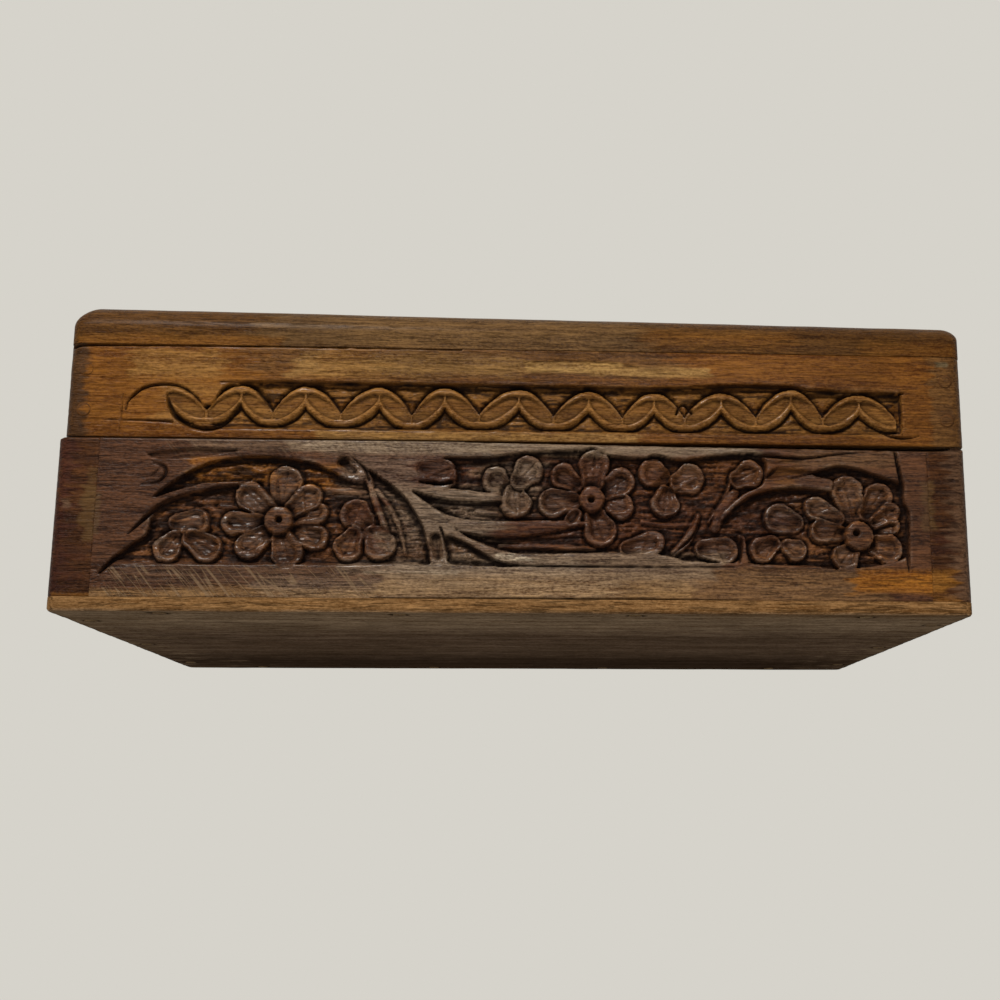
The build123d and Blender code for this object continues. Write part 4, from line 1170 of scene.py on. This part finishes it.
top.sink([top_place(*share) for share in (
    (-1, -0.93), (-1, -0.5), (-1, 0.5), (-1, 0.93), (-0.97, 1), (-0.5, 1), (0.5, 1),
    (0.97, 1), (1, 0.93), (1, 0.5), (1, -0.5), (1, -0.93), (0.97, -1), (0.5, -1),
    (-0.5, -1), (-0.97, -1))], 1.05)
top.roughen_ground(0.22, 121)
# The cross: its upright and its arms, each with a V cut along the middle
half_arm = 3.75
for up, half_across, half_up in ((0, half_arm, 22), (7, 15, half_arm)):
    area = top.window([(-half_across, up - half_up), (half_across, up + half_up)], 3)
    beyond = np.maximum(np.abs(top.x[area]) - half_across, np.abs(top.z[area] - up) - half_up)
    back = -0.05 - 0.3 * soft_step(beyond, -1.6, 0)
    top.stand(area, beyond + top.wobble[area], back, over=True)
for points in ([(0, -19, 0.9), (0, 19, 0.9)], [(-12, 7, 0.9), (12, 7, 0.9)]):
    top.groove(points, 0.6)
# A quarter of the panel, four times mirrored: stems, leaves, a flower and a trefoil
for turn in (-1, 1):
    for rise in (-1, 1):
        for points in (
            [(0.15, 0.78, 1.2), (0.25, 0.79, 2.0), (0.36, 0.765, 2.2), (0.45, 0.69, 2.0),
             (0.53, 0.56, 1.6)],
            [(0.29, 0.10, 1.2), (0.39, 0.12, 2.2), (0.46, 0.18, 2.0), (0.51, 0.28, 1.4)],
            [(0.93, 0.05, 1.2), (0.92, 0.2, 2.0), (0.9, 0.36, 2.2), (0.86, 0.5, 1.6)],
        ):
            top.stem([top_place(turn * x, rise * y, w) for x, y, w in points], top=-0.1)
        for root, tip, width in (
            ((0.26, 0.58), (0.37, 0.5), 4.6), ((0.35, 0.88), (0.46, 0.895), 4.2),
            ((0.815, 0.1), (0.825, 0.26), 4.4), ((0.07, 0.84), (0.11, 0.9), 3.0),
            ((0.73, 0.68), (0.765, 0.72), 3.2), ((0.62, 0.84), (0.68, 0.86), 3.2),
        ):
            top.petal(top_place(turn * root[0], rise * root[1]),
                      top_place(turn * tip[0], rise * tip[1]), width)
        flower = top_place(turn * 0.62, rise * 0.42)
        top.whorl(flower, 6, math.pi / 6, 2.8, 6.0, 5.2)
        top.disc(flower, 2.5)
        top.whorl(top_place(turn * 0.86, rise * 0.74), 3, rise * math.pi / 2, 1.2, 3.4, 4.8)
top.plane_marks(125, along=18, depth=0.03)
# Darker patches over the front edge and its round-over, and a greyer, lighter middle stretch (dun)
# that is a painted highlight
front_skin = -skin_y
for name, left, right, low, high, amount, soft in [
    ("umber", -90, -30, front_skin - 1, front_skin + 12, 0.6, 2.0),
    ("umber", 18, 90, front_skin - 1, front_skin + 14, 0.55, 2.0),
    ("dun", -44, 22, front_skin - 1, front_skin + 9, 0.75, 2.2),
    ("amber", 20, 46, front_skin + 1, front_skin + 4, 0.6, 1.2),
    ("amber", -74, -40, front_skin - 1, front_skin + 1.6, 0.7, 0.6),
    ("amber", 58, 90, front_skin - 1, front_skin + 3.0, 0.7, 1.2),
    ("umber", -90, -70.5, front_skin - 1, front_skin + 12, 0.9, 1.0),
]:
    top.tint(name, left, right, low, high, amount, soft, seed=130 + len(name))
top_shell = relief_shell(top, drape)
close_hole(top_shell)
finish_piece("carved_top_board", top_shell, "lid", ["lid_top_board"], top_finish)

# ---- Back board and lid back rail --------------------------------------------------------
# Plain boards of the same woods. Their meeting edges are bevelled to a V, so that the lid
# stops a little past upright, and the hinge leaves are let in flush.
plain_base_finish = wood_finish(
    "dark_hardwood_plain", 0, (44, 25, 16), (98, 64, 43), [], seed=15
)
plain_lid_finish = wood_finish(
    "orange_hardwood_plain", 0, (80, 44, 16), (136, 88, 42), [], seed=17
)


def worn_copy(node, name, body, finish, width):
    """A node's own shape with its sharp edges worn round, over a width in mm."""
    shell = bmesh.new()
    shell.from_mesh(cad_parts[node].data)
    bmesh.ops.remove_doubles(shell, verts=shell.verts, dist=2e-6)
    bmesh.ops.dissolve_limit(
        shell, angle_limit=math.radians(1), verts=shell.verts, edges=shell.edges
    )
    piece = finish_piece(name, shell, body, [node], finish)
    rounding = piece.modifiers.new("worn_edges", "BEVEL")
    rounding.width, rounding.segments = width * mm, 2
    rounding.limit_method, rounding.angle_limit = "ANGLE", math.radians(40)
    rounding.harden_normals = False


worn_copy("base_back_board", "plain_back_board", "base", plain_base_finish, 0.2)
worn_copy("lid_back_rail", "plain_back_rail", "lid", plain_lid_finish, 0.2)

# ---- Bottom panel and the brads ----------------------------------------------------------
# A thin board nailed up under the walls with headless brads. Their heads are sunk and the
# holes stopped with a light putty, which has shrunk and holds dirt round its rim.
bottom_finish = wood_finish(
    "grey_hardwood_bottom", 0, (122, 94, 64), (222, 190, 154),
    [
        ("sap", (96, 62, 28), (152, 108, 56)),
        # The second and third tints darken the underside towards its back edge: painted shade
        ("dusk", (82, 58, 42), (140, 112, 92)),
        ("soot", (34, 20, 12), (64, 44, 32)),
        ("rim", (26, 17, 12), (40, 28, 20)),
    ],
    seed=20, shine=0.0,
)
panel_low, panel_high = corners("bottom_panel")
# Brads: four along each long side and three along each end, 3.5 mm in from the edge
half_box_x, half_box_y, brad_inset, end_step = 76, 51, 3.5, 37.0
long_step = (2 * half_box_x - 2 * 17.5) / 3
bottom_heads = [(long_step * (k - 1.5), side * (half_box_y - brad_inset))
                for side in (-1, 1) for k in range(4)]
bottom_heads += [(side * (half_box_x - brad_inset), end_step * k)
                 for side in (-1, 1) for k in (-1, 0, 1)]
wrap = 2.2  # how far the skin runs on up the panel's edges
under = Relief(panel_low[0] - wrap, panel_high[0] + wrap, panel_low[1] - wrap,
               panel_high[1] + wrap, 0.5)
under.wall = 0.3
under.plane_marks(141, along=25, across=1.2, depth=0.03)
# Seventy fine scratches from the tables it has stood on
dents = np.random.default_rng(17)
for _ in range(70):
    x, y = dents.uniform(-72, 72), dents.uniform(-47, 47)
    turn, length = dents.uniform(-0.5, 0.5), dents.uniform(3, 22)
    under.groove([(x, y, 0.3), (x + length * math.cos(turn), y + length * math.sin(turn), 0.2)],
                 dents.uniform(0.03, 0.09))
for x, y in bottom_heads:
    under.groove([(x - 0.4, y, 2.4), (x + 0.4, y, 2.4)], 0.35)
    under.tint("rim", x - 1.5, x + 1.5, y - 1.3, y + 1.3, 0.8, 0.3, 143)
under.tint("sap", -80, 80, -56, -50.6, 0.85, 0.5, 144)
under.tint("sap", 30, 74, -52, -46, 0.35, 2.0, 145)
# Darker towards the back edge: painted shade
under.tint("dusk", -80, 80, -26, 56, 0.7, 14.0, 146)
under.tint("soot", -80, 80, 20, 56, 0.7, 14.0, 147)


def under_panel(x, y, height):
    """The panel's underside and edges: flat below, turning up round a 0.5 mm edge."""
    radius = 0.5
    (out_x, rise_x, past_x, *_), (out_y, rise_y, past_y, *_) = (
        bend_back(s, radius - half, half - radius, radius)
        for s, half in zip((x, y), panel_high)
    )
    out_x, out_y = round_plan(out_x, out_y, *panel_high[:2], base_corner_radius)
    rise = np.maximum(rise_x, rise_y) + np.maximum(past_x, past_y)
    return out_x, out_y, np.clip(rise - height, 0, panel_high[2])


under_shell = relief_shell(under, under_panel)
for vertex in under_shell.verts:
    if vertex.is_boundary:
        vertex.co.z = panel_high[2] * mm
close_hole(under_shell)
finish_piece(
    "thin_bottom_panel", under_shell, "base", ["bottom_panel"], bottom_finish
)


def putty(name, pale, brown, dirt):
    """Oil putty gone hard: crumbly, stained in patches, with dirt in its pits."""
    pale, brown, dirt = colour(*pale), colour(*brown), colour(*dirt)
    finish, paint, place = start_finish(name)
    crumb = place.noise((0.9, 0.9, 0.9), 4)
    stain = place.noise((0.25, 0.25, 0.25), 2, (4, 2, 7)).step(0.35, 0.7)
    tone = paint.mixed(pale, 1.0).mixed(brown, stain).mixed(dirt, crumb.step(0.55, 0.75))
    bump = paint.node("Bump", {}, {"Strength": 0.6, "Distance": 0.1 * mm, "Height": crumb})
    end_finish(paint, {
        "Base Color": tone, "Roughness": 0.7 + 0.2 * crumb, "Normal": bump,
        "Specular IOR Level": 0.1,
    })
    return finish


def add_brad(shell, head, into, seed):
    """A brad driven in from a point, its hole stopped with a low dome of putty."""
    length, radius, sunk, putty_radius = 14.0, 0.6, 0.6, 1.15
    spin = np.random.default_rng(seed)
    turn = Vector(into).to_track_quat("Z", "Y").to_matrix().to_4x4()
    turn.translation = Vector(head) * mm
    bmesh.ops.create_cone(
        shell, cap_ends=True, segments=8, radius1=radius * mm, radius2=radius * mm,
        depth=(length - sunk) * mm,
        matrix=turn @ Matrix.Translation((0, 0, (length + sunk) / 2 * mm)),
    )
    plug = bmesh.ops.create_cone(
        shell, cap_ends=True, segments=16, radius1=putty_radius * mm,
        radius2=putty_radius * 0.7 * mm, depth=0.9 * mm,
        matrix=turn @ Matrix.Translation((0, 0, 0.45 * mm)),
    )["verts"]
    # A sunk middle, and a rim a little out of round
    rim = [v for v in plug if (turn.inverted() @ v.co).z < 0.1 * mm]
    face = next(f for f in rim[0].link_faces if all(v in rim for v in f.verts))
    bmesh.ops.inset_region(shell, faces=[face], thickness=0.35 * mm)
    for vertex in rim:
        push = spin.uniform(0.9, 1.08)
        local = turn.inverted() @ vertex.co
        vertex.co = turn @ Vector((local.x * push, local.y * push * 0.9, local.z + 0.12 * mm))


def brad_piece(name, heads, body, node, finish, seed):
    """All the brads of one node, each given by its head and the way it was driven."""
    shell = bmesh.new()
    for k, (head, into) in enumerate(heads):
        add_brad(shell, head, into, seed + k)
    bmesh.ops.recalc_face_normals(shell, faces=shell.faces)
    for face in shell.faces:
        face.smooth = True
    finish_piece(name, shell, body, [node], finish)


pale_putty = putty("shrunk_putty", (150, 122, 84), (104, 78, 50), (52, 36, 24))
dark_putty = putty("brown_filler", (76, 52, 32), (58, 36, 22), (34, 20, 12))
lid_putty = putty("orange_filler", (92, 58, 28), (76, 48, 24), (50, 32, 16))
brad_piece("puttied_bottom_brads", [((x, y, 0), (0, 0, 1)) for x, y in bottom_heads],
           "base", "bottom_brads", pale_putty, 201)
# Two at each corner, above and below the middle of the wall: through the ends of the base
# into its long boards, and through the long rails of the lid into its end rails
base_middle, lid_middle = 15.55, 37
brad_piece(
    "puttied_base_corner_brads",
    [((side * half_box_x, end * 47, base_middle + step), (-side, 0, 0))
     for side in (-1, 1) for end in (-1, 1) for step in (-6, 6)],
    "base", "base_corner_brads", dark_putty, 231,
)
brad_piece(
    "puttied_lid_corner_brads",
    [((x, end * half_box_y, lid_middle + step), (0, -end, 0))
     for x in (-72.1, 73.0) for end in (-1, 1) for step in (-3.5, 3.5)],
    "lid", "lid_corner_brads", lid_putty, 261,
)

# ---- Hinges ------------------------------------------------------------------------------
# Two small butt hinges of rolled brass sheet, gone dull and brown, their leaves let in flush
# in the V of the back edges, each held by two small brass nails and turning on a brass pin.
brass_finish, paint, place = start_finish("dulled_brass")
cloud = place.noise((0.5, 0.5, 0.5), 4, (2, 5, 1), 0.6)
smear = place.noise((0.15, 1.4, 1.4), 3, (7, 1, 3), 0.6)
tarnish = (cloud * 0.6 + smear * 0.6).step(0.5, 0.78)
verdigris = place.noise((0.9, 0.9, 0.9), 3, (9, 9, 2)).step(0.66, 0.76)
brass_colour = paint.mixed(colour(196, 158, 86), 1.0).mixed(colour(104, 76, 42), tarnish)
brass_colour = brass_colour.mixed(colour(82, 98, 78), verdigris * 0.5)
scratch = place.noise((0.2, 6.0, 6.0), 2, (1, 8, 4))
brass_bump = paint.node(
    "Bump", {}, {"Strength": 0.4, "Distance": 0.05 * mm, "Height": scratch + cloud * 0.5}
)
end_finish(paint, {
    "Base Color": brass_colour, "Metallic": 1.0 - 0.5 * verdigris,
    "Roughness": 0.3 + 0.3 * tarnish + 0.1 * scratch, "Normal": brass_bump,
})
hinge_pieces = [
    (f"{side}_hinge_{part}", f"{side}_{part}", body, 0.1)
    for side in ("left", "right")
    for part, body in (("base_leaf", "base"), ("lid_leaf", "lid"), ("pin", "base"))
]
hinge_pieces += [(f"hinge_{body}_nails", f"{body}_leaf_nails", body, 0.08)
                 for body in ("base", "lid")]
for node, name, body, width in hinge_pieces:
    worn_copy(node, name, body, brass_finish, width)

# ---- Stage, lamps and camera -------------------------------------------------------------
# A pale floor that is seen only from above, a pale surround, two soft lamps in front and
# above, and the camera a little below the box's underside, looking up at its front.
pale = colour(214, 211, 203)
surround = bpy.data.worlds.new("pale_surround")
surround.use_nodes = True
bpy.context.scene.world = surround
surround.node_tree.nodes.clear()
air = Paint(surround.node_tree)
seen = air.node("LightPath", outlet=0) + air.node("LightPath", outlet=3)
seen = seen + air.node("LightPath", outlet=6)
glow = air.mixed((0.82, 0.81, 0.79, 1), 1.0).mixed(pale, seen)
strength = 0.16 + 0.84 * seen
background = air.node("Background", {}, {"Color": glow, "Strength": strength})
air.node("OutputWorld", {}, {"Surface": background})

floor_finish, air, place = start_finish("pale_floor")
from_above = 1.0 - air.node("NewGeometry", outlet=6)
reach = air.node("VectorMath", {"operation": "LENGTH"}, {0: place}, outlet=1)
blocks = from_above * (1.0 - air.node("LightPath", outlet=1)) * (1.0 - reach.step(0.5, 1.2))
matt = air.node("BsdfDiffuse", {}, {"Color": colour(176, 174, 168)})
clear = air.node("BsdfTransparent")
joined = air.node("MixShader", {}, {0: blocks, 1: clear, 2: matt})
air.node("OutputMaterial", {}, {"Surface": joined})
# The floor has a hole a little smaller than the box, which stands over it
floor_half, hole_x, hole_y = 1.5, 75.3 * mm, 50.3 * mm
floor_shell = bmesh.new()
bmesh.ops.create_grid(floor_shell, x_segments=1, y_segments=1, size=floor_half)
bmesh.ops.inset_region(
    floor_shell, faces=floor_shell.faces[:], thickness=1.43, use_boundary=True,
    use_even_offset=True,
)
middle_face = min(floor_shell.faces, key=lambda face: face.calc_center_median().length)
bmesh.ops.delete(floor_shell, geom=[middle_face], context="FACES")
for vertex in floor_shell.verts:
    if abs(vertex.co.x) < floor_half / 2:
        vertex.co.x = math.copysign(hole_x, vertex.co.x)
        vertex.co.y = math.copysign(hole_y, vertex.co.y)
mesh_object("floor", floor_shell, floor_finish)


def soft_lamp(name, place, aim, breadth, power, tone, mirrored=True):
    """A square area lamp at a place, turned to a point, and whether polish mirrors it."""
    lamp = bpy.data.lights.new(name, "AREA")
    lamp.size, lamp.energy, lamp.color = breadth, power, tone
    holder = put_in_scene(name, lamp)
    holder.location = place
    holder.visible_glossy = mirrored
    way = Vector(aim) - Vector(place)
    holder.rotation_euler = way.to_track_quat("-Z", "Y").to_euler()


soft_lamp("key_lamp", (-0.18, -0.5, 0.62), (0, -0.05, 0.03), 0.2, 5.3, (1.0, 0.97, 0.92))
soft_lamp("front_lamp", (0.1, -0.85, 0.34), (0, -0.05, 0.03), 0.3, 1.0, (1.0, 0.99, 0.97))
soft_lamp("back_lamp", (0.45, 0.7, 0.5), (0, 0.05, 0.03), 0.3, 3.0, (1.0, 0.98, 0.95), False)
soft_lamp("low_lamp", (-0.06, -0.42, -0.17), (0, -0.05, 0.02), 0.2, 0.45, (1.0, 0.99, 0.97))

lens = bpy.data.cameras.new("camera")
lens.sensor_width, lens.lens, lens.shift_x = 36.0, 50.47, -0.1034
camera = put_in_scene("camera", lens)
camera.location = (0.62 * mm, -279.18 * mm, -29.6 * mm)
camera.rotation_euler = [math.radians(v) for v in (102.012, 0.102, -3.335)]
bpy.context.scene.camera = camera
bpy.context.scene.view_settings.view_transform = "Standard"
